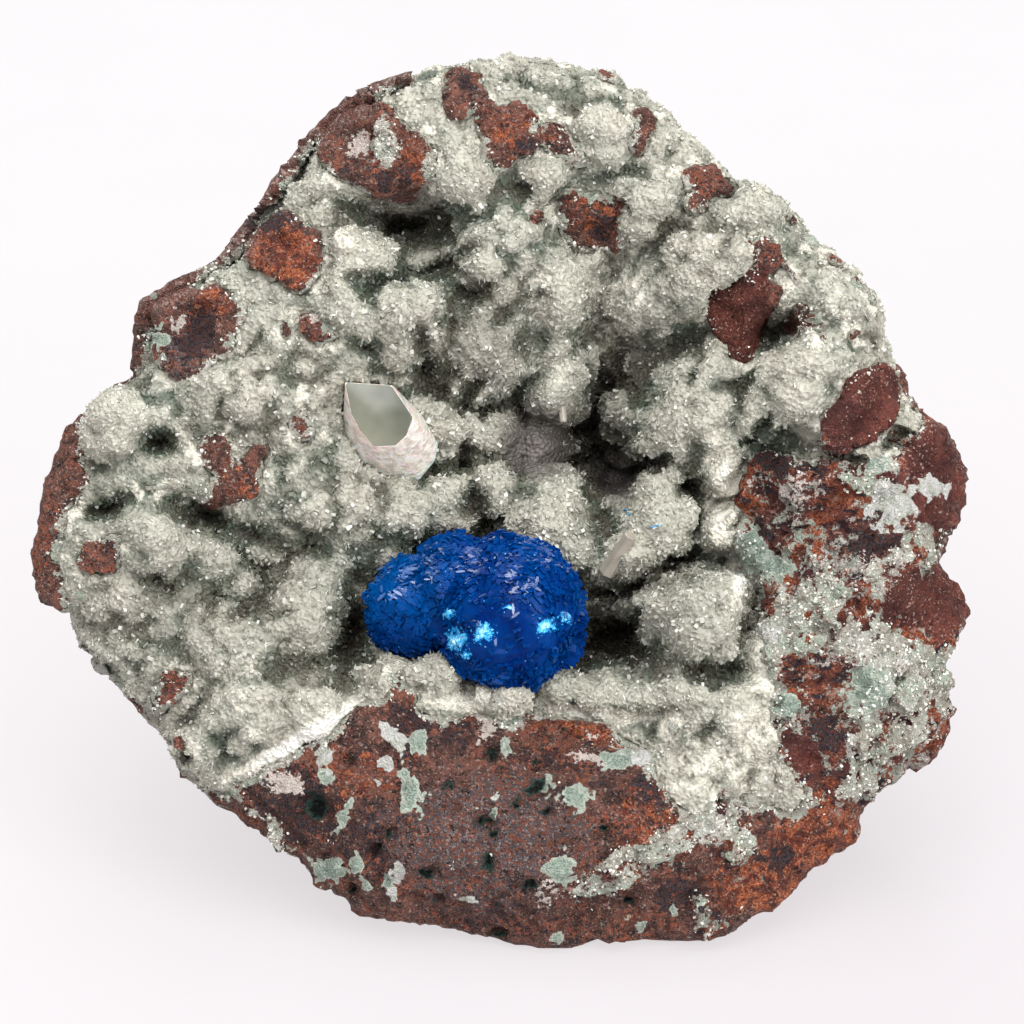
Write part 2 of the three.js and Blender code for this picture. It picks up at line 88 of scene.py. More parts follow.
# %% Copy a solid and give it an even skin
def new_piece(name, mesh):
    """A mesh put into the scene as an object at the origin."""
    piece = bpy.data.objects.new(name, mesh)
    bpy.context.scene.collection.objects.link(piece)
    return piece


def copy_of_solid(node, name):
    """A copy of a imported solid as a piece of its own, with its loose triangles merged."""
    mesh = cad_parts[node].data.copy()
    loose = bmesh.new()
    loose.from_mesh(mesh)
    bmesh.ops.remove_doubles(loose, verts=loose.verts, dist=0.001 * MM)
    loose.to_mesh(mesh)
    loose.free()
    mesh.materials.clear()
    return new_piece(name, mesh)


def even_skin(piece, face_size):
    """Swaps the piece's mesh for an even skin of small faces."""
    remesh = piece.modifiers.new("even skin", "REMESH")
    remesh.mode = "VOXEL"
    remesh.voxel_size = face_size
    baked = bpy.data.meshes.new_from_object(
        piece.evaluated_get(bpy.context.evaluated_depsgraph_get())
    )
    piece.modifiers.clear()
    piece.data = baked
    piece.data.name = piece.name


def triangles_in(mesh):
    """How many triangles the faces of a mesh come to."""
    return sum(len(face.vertices) - 2 for face in mesh.polygons)


# %% [markdown]
# ### Reading and moving vertices
#
# Blender hands over the positions of a whole mesh as one flat list of numbers. In rows of three
# they are points that numpy can add and turn all at once, and one call puts them back. The normals
# come in the same way, and a normal's share along the face's z tells which way a vertex looks.

# %% Vertices and normals as arrays
def vertices_of(mesh):
    """The positions of a mesh's vertices, one row of x, y and z in metres each."""
    points = np.empty(len(mesh.vertices) * 3)
    mesh.vertices.foreach_get("co", points)
    return points.reshape(-1, 3)


def normals_of(mesh):
    """The normal of each vertex, one row each."""
    normals = np.empty(len(mesh.vertices) * 3)
    mesh.vertices.foreach_get("normal", normals)
    return normals.reshape(-1, 3)


def frontward(mesh):
    """Which way each vertex looks: 1 straight out of the face, 0 sideways, below 0 backwards."""
    return normals_of(mesh) @ TURN[:, 2]


def push_out(mesh, distances):
    """Moves each vertex along its normal."""
    mesh.vertices.foreach_set("co", (vertices_of(mesh) + normals_of(mesh) * distances[:, None]).ravel())
    mesh.update()


def soften(mesh, rounds):
    """Evens a mesh out by moving each vertex towards the middle of its neighbours."""
    shape = bmesh.new()
    shape.from_mesh(mesh)
    for _ in range(rounds):
        bmesh.ops.smooth_vert(
            shape, verts=shape.verts, factor=0.5, use_axis_x=True, use_axis_y=True, use_axis_z=True
        )
    shape.to_mesh(mesh)
    shape.free()


# %% [markdown]
# ### Numbers kept on a mesh
#
# A material can't look at the shape of a mesh, but it can read a number that each vertex keeps.
# One of these tells crests from creases: the surface is evened out, and each vertex is measured
# against where the even surface would be.

# %% Keep a number, measure hollowness
def store(mesh, name, values):
    """Keeps one number per vertex on the mesh, for its material to read."""
    mesh.attributes.new(name, "FLOAT", "POINT").data.foreach_set("value", np.float32(values))


def hollowness(mesh, rounds):
    """How far each vertex lies behind the evened-out surface round it, in mm; crests are below 0."""
    ends = np.empty(len(mesh.edges) * 2, dtype=int)
    mesh.edges.foreach_get("vertices", ends)
    ends = np.concatenate([ends, ends.reshape(-1, 2)[:, ::-1].ravel()]).reshape(-1, 2)
    count = len(mesh.vertices)
    links = np.maximum(np.bincount(ends[:, 0], minlength=count), 1)
    points = vertices_of(mesh)
    even = points.copy()
    for _ in range(rounds):
        for axis in range(3):
            even[:, axis] = np.bincount(ends[:, 0], even[ends[:, 1], axis], count) / links
    return ((even - points) * normals_of(mesh)).sum(1) / MM


# %% [markdown]
# ### Search trees
#
# The minerals touch each other, so each has to know where the others are. A search tree sorts the
# faces of some pieces by place, and finds the nearest of them, or the first one along a line,
# without looking at them all.

# %% Nearest and first met
ABOVE_FACE = 20  # squares, well clear of everything on the face


def tree_of(*pieces):
    """A search tree over the faces of some pieces, to find the nearest or the first one met."""
    points, faces = [], []
    for piece in pieces:
        faces += [[v + len(points) for v in face.vertices] for face in piece.data.polygons]
        points += [Vector(p) for p in vertices_of(piece.data)]
    return BVHTree.FromPolygons(points, faces)


def distances_to(tree, points, farthest):
    """How far each point is from the nearest face, at most as much as farthest."""
    found = (tree.find_nearest(Vector(p), farthest)[3] for p in points)
    return np.array([farthest if d is None else d for d in found])


def first_met(tree, x, y):
    """Where a line straight into the face, at x and y in squares, first meets the pieces."""
    return tree.ray_cast(Vector(standing((x, y, ABOVE_FACE))), -OUT_OF_FACE)[0]


# %% [markdown]
# ### Noises
#
# Four kinds of unevenness are used. Grain is plain fractal noise. Clumps are round domes side by
# side and cells are blocks with a random direction each, both from the points of a cell noise.
# Wander shifts each point a little, which makes the edges of the others crooked. A smooth step
# turns any measure into a soft 0 to 1.

# %% Noise helpers
def grain(points, size, octaves, seed):
    """Uneven ground between about -1 and 1."""
    shift = Vector((seed * 11.9, seed * 4.7, seed * 2.3))
    return np.array([noise.fractal(Vector(p) / size + shift, 1.0, 2.0, octaves) for p in points])


def clumps(points, size, seed):
    """Rounded bumps packed side by side: 1 on top of each, 0 in the creases between them."""
    shift = Vector((seed * 7.3, seed * 3.1, seed * 5.7))
    near = [noise.voronoi(Vector(p) / size + shift)[0][0] for p in points]
    return np.sqrt(np.clip(1 - (np.array(near) / 0.8) ** 2, 0, 1))


def cells(points, size, seed):
    """Splits space into blocks: one random direction for each point, the same all over its block."""
    shift = Vector((seed * 3.7, seed * 9.1, seed * 6.3))
    middles = np.array([noise.voronoi(Vector(p) / size + shift)[1][0] for p in points])
    return 2 * ((middles @ [[12.9, 39.3, 73.1], [78.2, 11.1, 52.2], [37.7, 83.2, 9.4]]) * 43.7 % 1) - 1


def wander(points, size, reach, seed=0):
    """A slow random shift for each point, at most about as long as reach."""
    shift = Vector((seed * 5.1, seed * 8.3, seed * 2.9))
    return reach * np.array([noise.noise_vector(Vector(p) / size + shift) for p in points])


def smooth_step(low, high, values):
    """0 below low, 1 above high and a soft rise between; with low above high it falls."""
    t = np.clip((values - low) / (high - low), 0, 1)
    return t * t * (3 - 2 * t)


# %% [markdown]
# ## Spots
#
# Much of what makes a specimen itself sits in a certain place: a bubble, a cleft, a stain. Such
# things are kept in short lists of soft ellipses on the face, and one function tells for every
# vertex how far inside the nearest of them it lies.

# %% Spots on the face
def spots(places, patches, edge=2.2):
    """How far inside the nearest patch each place is: 1 in its middle, 0 well outside."""
    inside = np.zeros(len(places))
    for x, y, half_x, half_y, turned, *strength in patches:
        turn = math.radians(turned)
        dx, dy = places[:, 0] - x, places[:, 1] - y
        across = (dx * math.cos(turn) + dy * math.sin(turn)) / half_x
        up = (dy * math.cos(turn) - dx * math.sin(turn)) / half_y
        here = np.exp(-0.55 * (across**2 + up**2) ** edge) * (strength[0] if strength else 1)
        inside = np.maximum(inside, here)
    return inside


# %% [markdown]
# ## Strewing
#
# Lumps, crystals and blades are all strewn over a surface in the same way: draw triangles at
# random, the large and the wanted ones more often, and a random point on each.

# %% Random places on a mesh
def strewn(mesh, count, draw, weights):
    """Random places on a mesh: the points, their normals, and the corners each lies between.

    Weights is a function of the triangles' normals and corners that says how likely each is.
    """
    mesh.calc_loop_triangles()
    corners = np.empty(len(mesh.loop_triangles) * 3, dtype=int)
    mesh.loop_triangles.foreach_get("vertices", corners)
    corners = corners.reshape(-1, 3)
    points = vertices_of(mesh)
    a, b, c = (points[corners[:, k]] for k in range(3))
    normals = np.cross(b - a, c - a)
    doubled = np.linalg.norm(normals, axis=1)
    normals /= np.maximum(doubled, 1e-15)[:, None]
    chance = doubled * weights(normals, corners)
    chosen = draw.choice(len(corners), count, p=chance / chance.sum())
    u, v = draw.random((2, count))
    u, v = np.where(u + v > 1, 1 - u, u), np.where(u + v > 1, 1 - v, v)
    places = a[chosen] + u[:, None] * (b - a)[chosen] + v[:, None] * (c - a)[chosen]
    return places, normals[chosen], corners[chosen]


# %% [markdown]
# ### Copies of one small shape
#
# Tens of thousands of objects would slow Blender down, and one mesh of as many small shapes does
# not. Each copy is the same few corners times a turn and a size, moved to its place, and all of
# them are worked out in one go.

# %% Turn and copy a shape
def unit(vectors):
    """The same directions with length 1."""
    return vectors / np.linalg.norm(vectors, axis=1)[:, None]


def turns_along(directions, across):
    """A turn for each direction that takes z to it and x as near as it can to across."""
    z = unit(directions)
    x = unit(across - z * (across * z).sum(1)[:, None])
    return np.stack([x, np.cross(z, x), z], axis=2)


def copies(name, shape, at, turns, sizes, numbers):
    """One mesh of many copies of a small shape, with named numbers kept for each copy."""
    corners = np.array([vertex.co for vertex in shape.verts])
    faces = np.array([[vertex.index for vertex in face.verts] for face in shape.faces])
    shape.free()
    moved = np.einsum("nij,nkj->nki", turns, corners[None] * sizes[:, None]) + at[:, None]
    corner_ids = faces[None] + (np.arange(len(at)) * len(corners))[:, None, None]
    mesh = bpy.data.meshes.new(name)
    mesh.vertices.add(moved.size // 3)
    mesh.vertices.foreach_set("co", moved.ravel())
    mesh.loops.add(corner_ids.size)
    mesh.loops.foreach_set("vertex_index", corner_ids.ravel())
    mesh.polygons.add(corner_ids.size // 3)
    mesh.polygons.foreach_set("loop_start", np.arange(0, corner_ids.size, 3))
    for number, values in numbers.items():
        store(mesh, number, np.repeat(values, len(corners)))
    mesh.update(calc_edges=True)
    mesh.shade_flat()
    print(name, len(at), "copies,", triangles_in(mesh), "triangles")
    return new_piece(name, mesh)


# %% [markdown]
# ## The basalt
#
# The rock is broken, not cut. Its faces are flat over a few millimetres and gritty close up, and
# the grit is what makes the edge of each fragment ragged. Three noises do this: a wide one that
# dents the faces, a fine one for the grit, and blocks that step up and down a little, as where
# flakes broke off. The flat underside that it stands on is kept.

# %% Roughen the rock
ROCK_SKIN = 0.4 * MM
ROCK_SWELL = 0.3 * MM
DENT_DEPTH, DENT_SIZE = 0.4 * MM, 3.4 * MM
GRIT_DEPTH, GRIT_SIZE = 0.34 * MM, 1.1 * MM
FLAKING_DEPTH, FLAKING_SIZE = 0.13 * MM, 1.3 * MM
FRAGMENTS_STAND = 0.45 * MM  # how far the fragments stand up out of the crust round them
# The rock's old outer skin, a smooth narrow strip along the upper left edge: x, y, half length and
# half width in squares of the face, then a turn in degrees.
WORN_STRIP = [
    (-34.4, 23.4, 4.4, 2.2, 30), (-29, 26.8, 2.8, 2.2, 50), (-25.9, 31.5, 3.6, 2.2, 60),
    (-21.5, 36.8, 3.6, 2.1, 50), (-16.4, 41.4, 3.8, 2, 40), (-10.2, 44.9, 4.2, 1.8, 25),
]

rock = copy_of_solid("basalt_matrix", "basalt_rock")
even_skin(rock, ROCK_SKIN)
soften(rock.data, 1)
points = vertices_of(rock.data)
places = on_face(points)
rough = ROCK_SWELL + DENT_DEPTH * grain(points, DENT_SIZE, 3, 1)
rough += GRIT_DEPTH * grain(points, GRIT_SIZE, 3, 2)
rough += FLAKING_DEPTH * cells(points + wander(points, 1.2 * MM, 0.3 * MM), FLAKING_SIZE, 14)[:, 0]
rough -= 0.8 * spots(places, WORN_STRIP, 1.6) * (rough - ROCK_SWELL)
rough *= smooth_step(0.1 * MM, 1.5 * MM, points[:, 2])  # the underside stays flat

# A fragment is rock that nothing covers and that has crust right beside it.
crust_solid = tree_of(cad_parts["zeolite_crust"])
seen = np.array([crust_solid.ray_cast(Vector(p), OUT_OF_FACE)[0] is None for p in points])
ringed = smooth_step(2.2 * MM, 1.6 * MM, distances_to(crust_solid, points, 3 * MM))
ringed *= places[:, 1] > -17  # above the lower face, which is bare
ringed *= smooth_step(-8, -5, places[:, 2]) * smooth_step(0.4, 0.7, frontward(rock.data))
push_out(rock.data, rough + FRAGMENTS_STAND * seen * ringed)
print("basalt_rock:", triangles_in(rock.data), "triangles")

# %% [markdown]
# ### Gas bubbles in the lower face
#
# Lava holds gas bubbles. Some stayed open and show as small dark pits lined with green clay, and
# some were filled later with white or pale green zeolite. The pits are pressed into the mesh here,
# and the filled ones stand up a little.

# %% Where the bubbles are
# x and y of the middle, half width and half height in squares of the face, then a turn in degrees.
OPEN_BUBBLES = [
    (2.4, -27.5, 1.1, 0.7, 0), (-2.8, -30.8, 0.8, 0.8, 0), (-2.4, -34.9, 0.5, 1.1, 0),
    (-8.5, -36.1, 0.8, 0.5, 0), (-12.2, -31.9, 0.5, 0.4, 0), (-13.6, -33.6, 0.4, 0.5, 0),
    (-1.8, -32.1, 0.4, 0.6, 0), (2.4, -25.3, 0.6, 0.4, 0), (1.8, -37.1, 0.5, 0.4, 0),
    (11.6, -39, 0.4, 0.4, 0), (-1.3, -42.4, 0.6, 0.4, 0), (-19.4, -29.4, 1, 1.3, 20),
    (-2, -24.2, 0.5, 0.45, 0), (0.6, -29, 0.5, 0.4, 0), (3.4, -29.8, 0.5, 0.4, 0),
    (-7.5, -38.8, 0.5, 0.4, 0), (-16.1, -38, 0.5, 0.5, 0), (5.4, -22, 0.5, 0.4, 0),
    (-16.4, -24.8, 0.6, 0.4, 0), (9.2, -31.5, 0.5, 0.4, 0), (-6.2, -27.2, 0.5, 0.45, 0),
]
WHITE_FILLINGS = [
    (-18.8, -24.3, 0.8, 1.6, 12), (-11.8, -22.5, 0.7, 1.9, 40), (-12.5, -25, 0.7, 0.7, 0),
    (-11.5, -35.9, 0.7, 0.8, 0), (-11.9, -38.2, 0.6, 0.8, 0), (-4.4, -38.6, 1, 0.4, -20),
    (-1.5, -28.3, 0.4, 0.5, 0), (-13.3, -26.9, 0.35, 0.35, 0), (38, 0.6, 2.3, 2.4, 20),
    (42, 2.4, 1.8, 1, -10), (25.2, -12.2, 1.8, 0.9, 0), (12.8, -24.6, 0.9, 0.7, 0),
]
GREEN_FILLINGS = [
    (-10.2, -27.8, 1.1, 1.9, 10), (-18.4, -35.8, 1.8, 1.1, -15), (-18.7, -26.2, 0.7, 0.8, 0),
    (-9.4, -23.1, 0.9, 1.2, -10), (-15.4, -35.3, 0.6, 1.2, 10), (-0.7, -23.6, 0.6, 0.9, 0),
    (0.1, -21.1, 0.9, 0.5, -20), (10.6, -24.7, 1.9, 0.9, 10), (6.2, -28.3, 1.5, 1.2, 0),
    (4.7, -35.5, 1.3, 1.7, 0), (15.1, -23.8, 1.3, 1.2, 0), (-12.3, -36.8, 0.5, 0.8, 0),
    (3.4, -27.4, 0.6, 0.8, 0), (-1.6, -29.6, 0.4, 1, -20), (12.9, -41.8, 0.6, 0.5, 0),
    (16.2, -39.7, 0.3, 0.7, 0), (-16.8, -30.2, 0.4, 2.2, -25), (4.6, -42.7, 0.5, 0.6, 0),
    (24.4, -3.8, 1.4, 2.4, 10), (26.4, -5.6, 1.3, 1, 0), (35.6, -17.6, 2, 2.2, 0),
    (27.4, -19.4, 1.2, 1.4, 0), (36.2, 4.8, 1.3, 1, 20), (-35.3, 17.3, 0.9, 1, 0),
    (-14.4, -37.6, 0.5, 0.7, 0),
]

# %% Press the open ones in and raise the filled ones
PIT_DEPTH = 0.9 * MM
FILLING_HEIGHT = 0.16 * MM


def near_front(places):
    """1 on the front of the rock, 0 behind it."""
    return smooth_step(-12, -7, places[:, 2])


places = on_face(vertices_of(rock.data))
pits = spots(places, OPEN_BUBBLES, 1.2) * near_front(places)
stand = (spots(places, WHITE_FILLINGS) + spots(places, GREEN_FILLINGS)) * near_front(places)
push_out(rock.data, FILLING_HEIGHT * stand - PIT_DEPTH * pits)
print("bubbles:", len(OPEN_BUBBLES), "open,", len(WHITE_FILLINGS + GREEN_FILLINGS), "filled")

# %% [markdown]
# ### Clefts in the hollow
#
# Between the lumps the hollow has narrow clefts that go deeper than the solid shows. They are
# pressed into the rock and the crust alike, straight back from the face, so the crust stays as
# thick as it was.

# %% Press the clefts in
# x, y, half width, half height in squares, turn in degrees, depth in mm.
CLEFTS = [
    (-12, 29, 4.8, 1.9, -5, 3), (8.8, 6.6, 2.9, 5.6, 8, 4), (13, 14, 1.9, 3.2, 0, 3),
    (13.8, -7.1, 7.2, 1.3, 12, 3.5), (10.8, -13.6, 4.6, 2.9, 0, 3.5), (24, -10, 1, 2.8, -15, 2),
    (-16.7, -12, 1.7, 3.6, 0, 3), (-32.1, -0.3, 2.8, 1.5, -20, 2.5), (-35.7, 7, 1.4, 1, 0, 2.5),
    (-41.2, 0.2, 1.7, 0.8, 0, 2), (26.7, 18.1, 1.9, 1.7, 0, 3), (-4.2, 0.7, 1.1, 1.7, 0, 2),
    (2.3, 17.4, 1, 5, -10, 1.1), (-9.2, 15.8, 0.9, 2.6, 10, 2), (-13.2, 22.8, 2.6, 0.8, -10, 2),
    (-6, 25, 2.8, 0.9, 30, 1.8), (17.8, 3.4, 0.8, 3.2, 0, 1.6), (-4.6, 12, 0.9, 3, -40, 1.6),
    (-24, -2.8, 3.4, 0.9, -10, 1), (-27, -9.6, 2.2, 0.8, 20, 0.8), (-21.6, -15.6, 3, 0.8, 15, 0.8),
    (20.6, -15.6, 3.4, 0.8, -8, 1.6), (9, 20, 0.9, 3, 20, 0.7), (16.8, 17.6, 2.6, 0.8, 0, 0.7),
]
ROCK_FLOOR = -19  # mm behind the face


def press_clefts(mesh, share=1.0):
    """Moves what lies in a cleft straight back from the face, down to the rock's floor."""
    points = vertices_of(mesh)
    places = on_face(points)
    inside = spots(places + wander(points, 3 * MM, 0.9), CLEFTS, 1.3)
    inside *= share * smooth_step(ROCK_FLOOR - 2, ROCK_FLOOR + 2, places[:, 2] * SQUARE / MM)
    points = points - TURN[:, 2] * inside[:, None] * MM
    mesh.vertices.foreach_set("co", points.ravel())
    mesh.update()


facing = smooth_step(-0.5, -0.1, frontward(rock.data))
press_clefts(rock.data, facing)  # the back of the rock stays where it is
print("clefts:", len(CLEFTS))

# %% [markdown]
# ## The zeolite crust
#
# The crust is a druse: thousands of crystals that grew side by side from the rock outwards, in
# rounded clumps like a cauliflower. The solid has the large lumps. Some 2,600 smaller balls are set
# into its skin before the remesh, which joins them into one body with creases that undercut. Two
# sizes are used. A ball shrinks to fit beside the rock, and it is left out where it would sit too
# close to one of its own size.

# %% Grow small lumps on the crust
# tries, smallest and largest radius in mm, spacing and sunk depth in radii
LUMP_SIZES = ((900, 1.3, 2.6, 0.95, 0.66), (7000, 0.5, 1.1, 0.95, 0.6))
ROOM_FILLED = 0.9  # share of the way to the rock or the ball that a lump may reach
LEAST_SIZE = 0.8  # a lump that had to shrink below this share of the smallest radius is left out

crust = copy_of_solid("zeolite_crust", "zeolite_crust_skin")
rock_tree = tree_of(rock)
ball_tree = tree_of(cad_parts["cavansite_ball"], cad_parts["calcite_crystal"])
draw = np.random.default_rng(7)
joined = bmesh.new()
joined.from_mesh(crust.data)
for tries, smallest, largest, spacing, sunk in LUMP_SIZES:
    seats, normals, _ = strewn(
        crust.data, tries, draw, lambda normals, _: smooth_step(-0.1, 0.7, normals @ TURN[:, 2])
    )
    radii = draw.uniform(smallest, largest, tries) * MM
    room = distances_to(rock_tree, seats, 2 * MM)
    room = np.minimum(room, distances_to(ball_tree, seats, 2 * MM))
    radii = np.minimum(radii, room * ROOM_FILLED)
    radii[radii < LEAST_SIZE * smallest * MM] = 0
    if smallest > 1:  # the large lumps keep out of the clefts
        radii[spots(on_face(seats), [cleft[:5] for cleft in CLEFTS], 1.3) > 0.3] = 0
    kept = []
    for k in np.flatnonzero(radii):
        apart = np.linalg.norm(seats[kept] - seats[k], axis=1)
        if not kept or apart.min() > spacing * radii[k]:
            kept.append(k)
    middles = seats[kept] - sunk * radii[kept, None] * normals[kept]
    round_lump = bmesh.new()
    bmesh.ops.create_icosphere(round_lump, subdivisions=2, radius=1)
    turns = turns_along(draw.normal(size=middles.shape), draw.normal(size=middles.shape))
    sizes = radii[kept, None] * draw.uniform(0.75, 1.2, middles.shape)
    lumps = copies("lumps", round_lump, middles, turns, sizes, {})
    joined.from_mesh(lumps.data)
    bpy.data.objects.remove(lumps)

# %% [markdown]
# ### Lumps with a place of their own
#
# Two smooth grey domes show deep in the hollow, and at the foot of the blue ball the crust grew on
# after the ball and covers its edge. Chance wouldn't put lumps just there, so these are listed.

# %% Add the listed lumps
# x and y in squares, radius in mm.
DEEP_DOMES = [(2.6, 7.2, 2.3), (10.4, 3.8, 1.5)]
DOME_SUNK = 0.45  # radii
# x, y and z in squares, radius in mm.
OVER_THE_BALL = [
    (-0.5, -17.5, -0.8, 0.85), (0.8, -18, -1, 0.8), (-2.3, -18.2, -1.2, 0.8),
    (-0.6, -18.6, -1.9, 0.95), (0.7, -19, -2, 0.9), (-2.3, -19.1, -2.2, 0.9), (-0.8, -19.6, -3, 1),
]

for x, y, radius in DEEP_DOMES:
    met = first_met(crust_solid, x, y)
    at = Matrix.Translation(met - DOME_SUNK * radius * MM * OUT_OF_FACE)
    bmesh.ops.create_icosphere(joined, subdivisions=3, radius=radius * MM, matrix=at)
for x, y, z, radius in OVER_THE_BALL:
    at = Matrix.Translation(Vector(standing((x, y, z))))
    bmesh.ops.create_icosphere(joined, subdivisions=2, radius=radius * MM, matrix=at)
joined.to_mesh(crust.data)
joined.free()
print("crust with its lumps, before the remesh:", triangles_in(crust.data), "triangles")

# %% [markdown]
# ### The crust's skin
#
# After the remesh the lumps are plain balls. Each gets small round clumps of crystals, its crest is
# raised and its creases are deepened. On the gentle slopes the lumps are evened out instead. All of
# that fades towards the rock and the ball, where the crust has to fit, and a small swell closes the
# clear gap that the solids keep round each fragment.

# %% Skin the crust and swell it
CRUST_SKIN = 0.33 * MM
CRUST_SWELL = 0.1 * MM
CLUMP_HEIGHT, CLUMP_SIZE = 0.32 * MM, 1.3 * MM
# x, y, half width and half height in squares, turn: where the lumps run into each other.
GENTLE_SLOPES = [(-26, -6, 14, 11, 20), (11, 22, 8, 6, 0), (-28, 5, 9, 6, 0)]

even_skin(crust, CRUST_SKIN)
soften(crust.data, 1)
points = vertices_of(crust.data)
away = distances_to(rock_tree, points, 1.5 * MM)
away = smooth_step(0.3 * MM, 1.3 * MM, np.minimum(away, distances_to(ball_tree, points, 1.5 * MM)))
between_lumps = hollowness(crust.data, 80)
lift = -0.05 * np.clip(between_lumps, -0.8, 0.8)
lift += 0.7 * spots(on_face(points), GENTLE_SLOPES, 1.6) * np.clip(between_lumps, -0.9, 0.9)
lift -= 0.25 * np.clip(hollowness(crust.data, 10), -0.4, 0.4)
swell = CRUST_SWELL + lift * away * MM + CLUMP_HEIGHT * (clumps(points, CLUMP_SIZE, 3) - 0.6) * away
swell += (0.26 - 0.12 * away) * MM * grain(points, 1.0 * MM, 3, 5)
swell += 0.1 * MM * (1 - away)
swell *= smooth_step(-0.6, 0.1, frontward(crust.data))
push_out(crust.data, swell)
press_clefts(crust.data)
print("zeolite_crust_skin:", triangles_in(crust.data), "triangles")

# %% [markdown]
# ### Where the crust is broken off
#
# When such a piece is split out of the rock, some of the crust along its rim breaks away and shows
# the basalt under it. Cutting the mesh open would leave a thin edge, so the skin is moved back
# below the rock's surface there instead, in patches with a ragged outline.

# %% Break the crust off
# x, y, half width, half height in squares, turn in degrees.
BROKEN_OFF = [
    (29, 6.2, 4.6, 1.7, 0), (25, 7.6, 1.4, 2.2, 10), (38.6, 7.4, 1.6, 1, 20), (41.4, 11.6, 1.4, 0.9, 40),
    (33.6, 4.6, 2, 1, 0), (22.8, 2, 1, 3, 0),
    (-41.6, -16, 3.2, 1.1, -45), (-36.8, -21.2, 2.6, 1.2, -52), (-33.2, -26.4, 2.2, 1, -52),
    (-28.6, -30, 3, 1.1, -38), *WORN_STRIP,
]
BROKEN_DEPTH = 2.4 * MM
# Squares: near the specimen's edge the face falls off, and what breaks off there lies deeper.
EDGE_FROM, EDGE_TO, EDGE_DEEPER = 30, 36, 6

points = vertices_of(crust.data)
places = on_face(points)
torn = spots(places + wander(points, 1.6 * MM, 1.4, 2), BROKEN_OFF, 1.6)
out_at_the_edge = EDGE_DEEPER * smooth_step(EDGE_FROM, EDGE_TO, np.hypot(places[:, 0], places[:, 1]))
torn = smooth_step(0.35, 0.6, torn) * smooth_step(-6, -2, places[:, 2] + out_at_the_edge)
points -= TURN[:, 2] * (BROKEN_DEPTH * torn)[:, None]
crust.data.vertices.foreach_set("co", points.ravel())
crust.data.update()
print("share of the crust's skin that is broken off:", round(float(torn.mean()), 2))

# %% [markdown]
# ## Chips of basalt
#
# Besides the large fragments, small chips of basalt are caught in the crust, mostly along its
# upper edge. Each one is the hull of a few random points in a flat ellipse, which gives it the
# straight chipped sides of broken rock, laid where a ray from the front meets the crust.

# %% Where the chips are
# x, y, half length and half width in squares, turn in degrees.
CHIPS = [
    (5.3, 44.1, 1.9, 0.8, -15), (10, 43.2, 2.2, 0.9, -35), (2.6, 41, 0.5, 1.9, 20),
    (1.9, 29.2, 1.6, 1.2, 40), (28.4, 23.4, 3.8, 0.6, -50), (32.6, 19.5, 0.9, 0.6, 0),
    (31, 17.5, 0.8, 0.6, 0), (34, 17.6, 0.9, 0.9, 0), (27.8, 29.7, 1.3, 0.8, -50),
    (30, 27.2, 1.6, 0.8, -50), (32.3, 25, 1.7, 0.9, -45), (34.5, 22.7, 1.6, 0.9, -50),
    (36, 21.2, 1.1, 0.7, -50), (-35, 2.5, 3, 0.5, 0), (-43.4, -8.4, 1.7, 0.6, 0),
    (-41.4, -15.6, 1.9, 1.1, -40), (-32.5, -23.5, 1.9, 1.1, -45), (-22.7, 18.2, 0.7, 1.3, 10),
    (-1.6, -18.6, 0.9, 1.4, 0), (16.2, -21.6, 0.9, 0.7, 0), (-30.6, 12.6, 0.7, 0.5, 20),
    (21.4, -27.4, 1.2, 1.6, 20), (23.8, -28.8, 0.8, 1.2, -20),
]

# %% Lay the chips
CHIP_POINTS = 12
CHIP_HALF_THICKNESS = 0.55 * MM
CHIP_SKIN = 0.22 * MM
CHIP_GRIT = 0.16 * MM

face_tree = tree_of(rock, crust)
chips = bmesh.new()
draw = np.random.default_rng(5)
for x, y, half_length, half_width, turned in CHIPS:
    met = first_met(face_tree, x, y)
    if met is None:
        print("no rock under the chip at", x, y)
        continue
    half_sizes = (half_length * SQUARE, half_width * SQUARE, CHIP_HALF_THICKNESS)
    spread = unit(draw.normal(size=(CHIP_POINTS, 3))) * half_sizes
    spin = face_turn @ Matrix.Rotation(math.radians(turned), 3, "Z")
    corners = [chips.verts.new(met + spin @ Vector(p)) for p in spread]
    hull = bmesh.ops.convex_hull(chips, input=corners)
    bmesh.ops.delete(chips, geom=hull["geom_interior"] + hull["geom_unused"], context="VERTS")
chip_mesh = bpy.data.meshes.new("basalt_chips")
chips.to_mesh(chip_mesh)
chips.free()
chip_piece = new_piece("basalt_chips", chip_mesh)
even_skin(chip_piece, CHIP_SKIN)
points = vertices_of(chip_piece.data)
push_out(chip_piece.data, CHIP_GRIT * grain(points, 1.0 * MM, 3, 6))
print("basalt_chips:", triangles_in(chip_piece.data), "triangles")
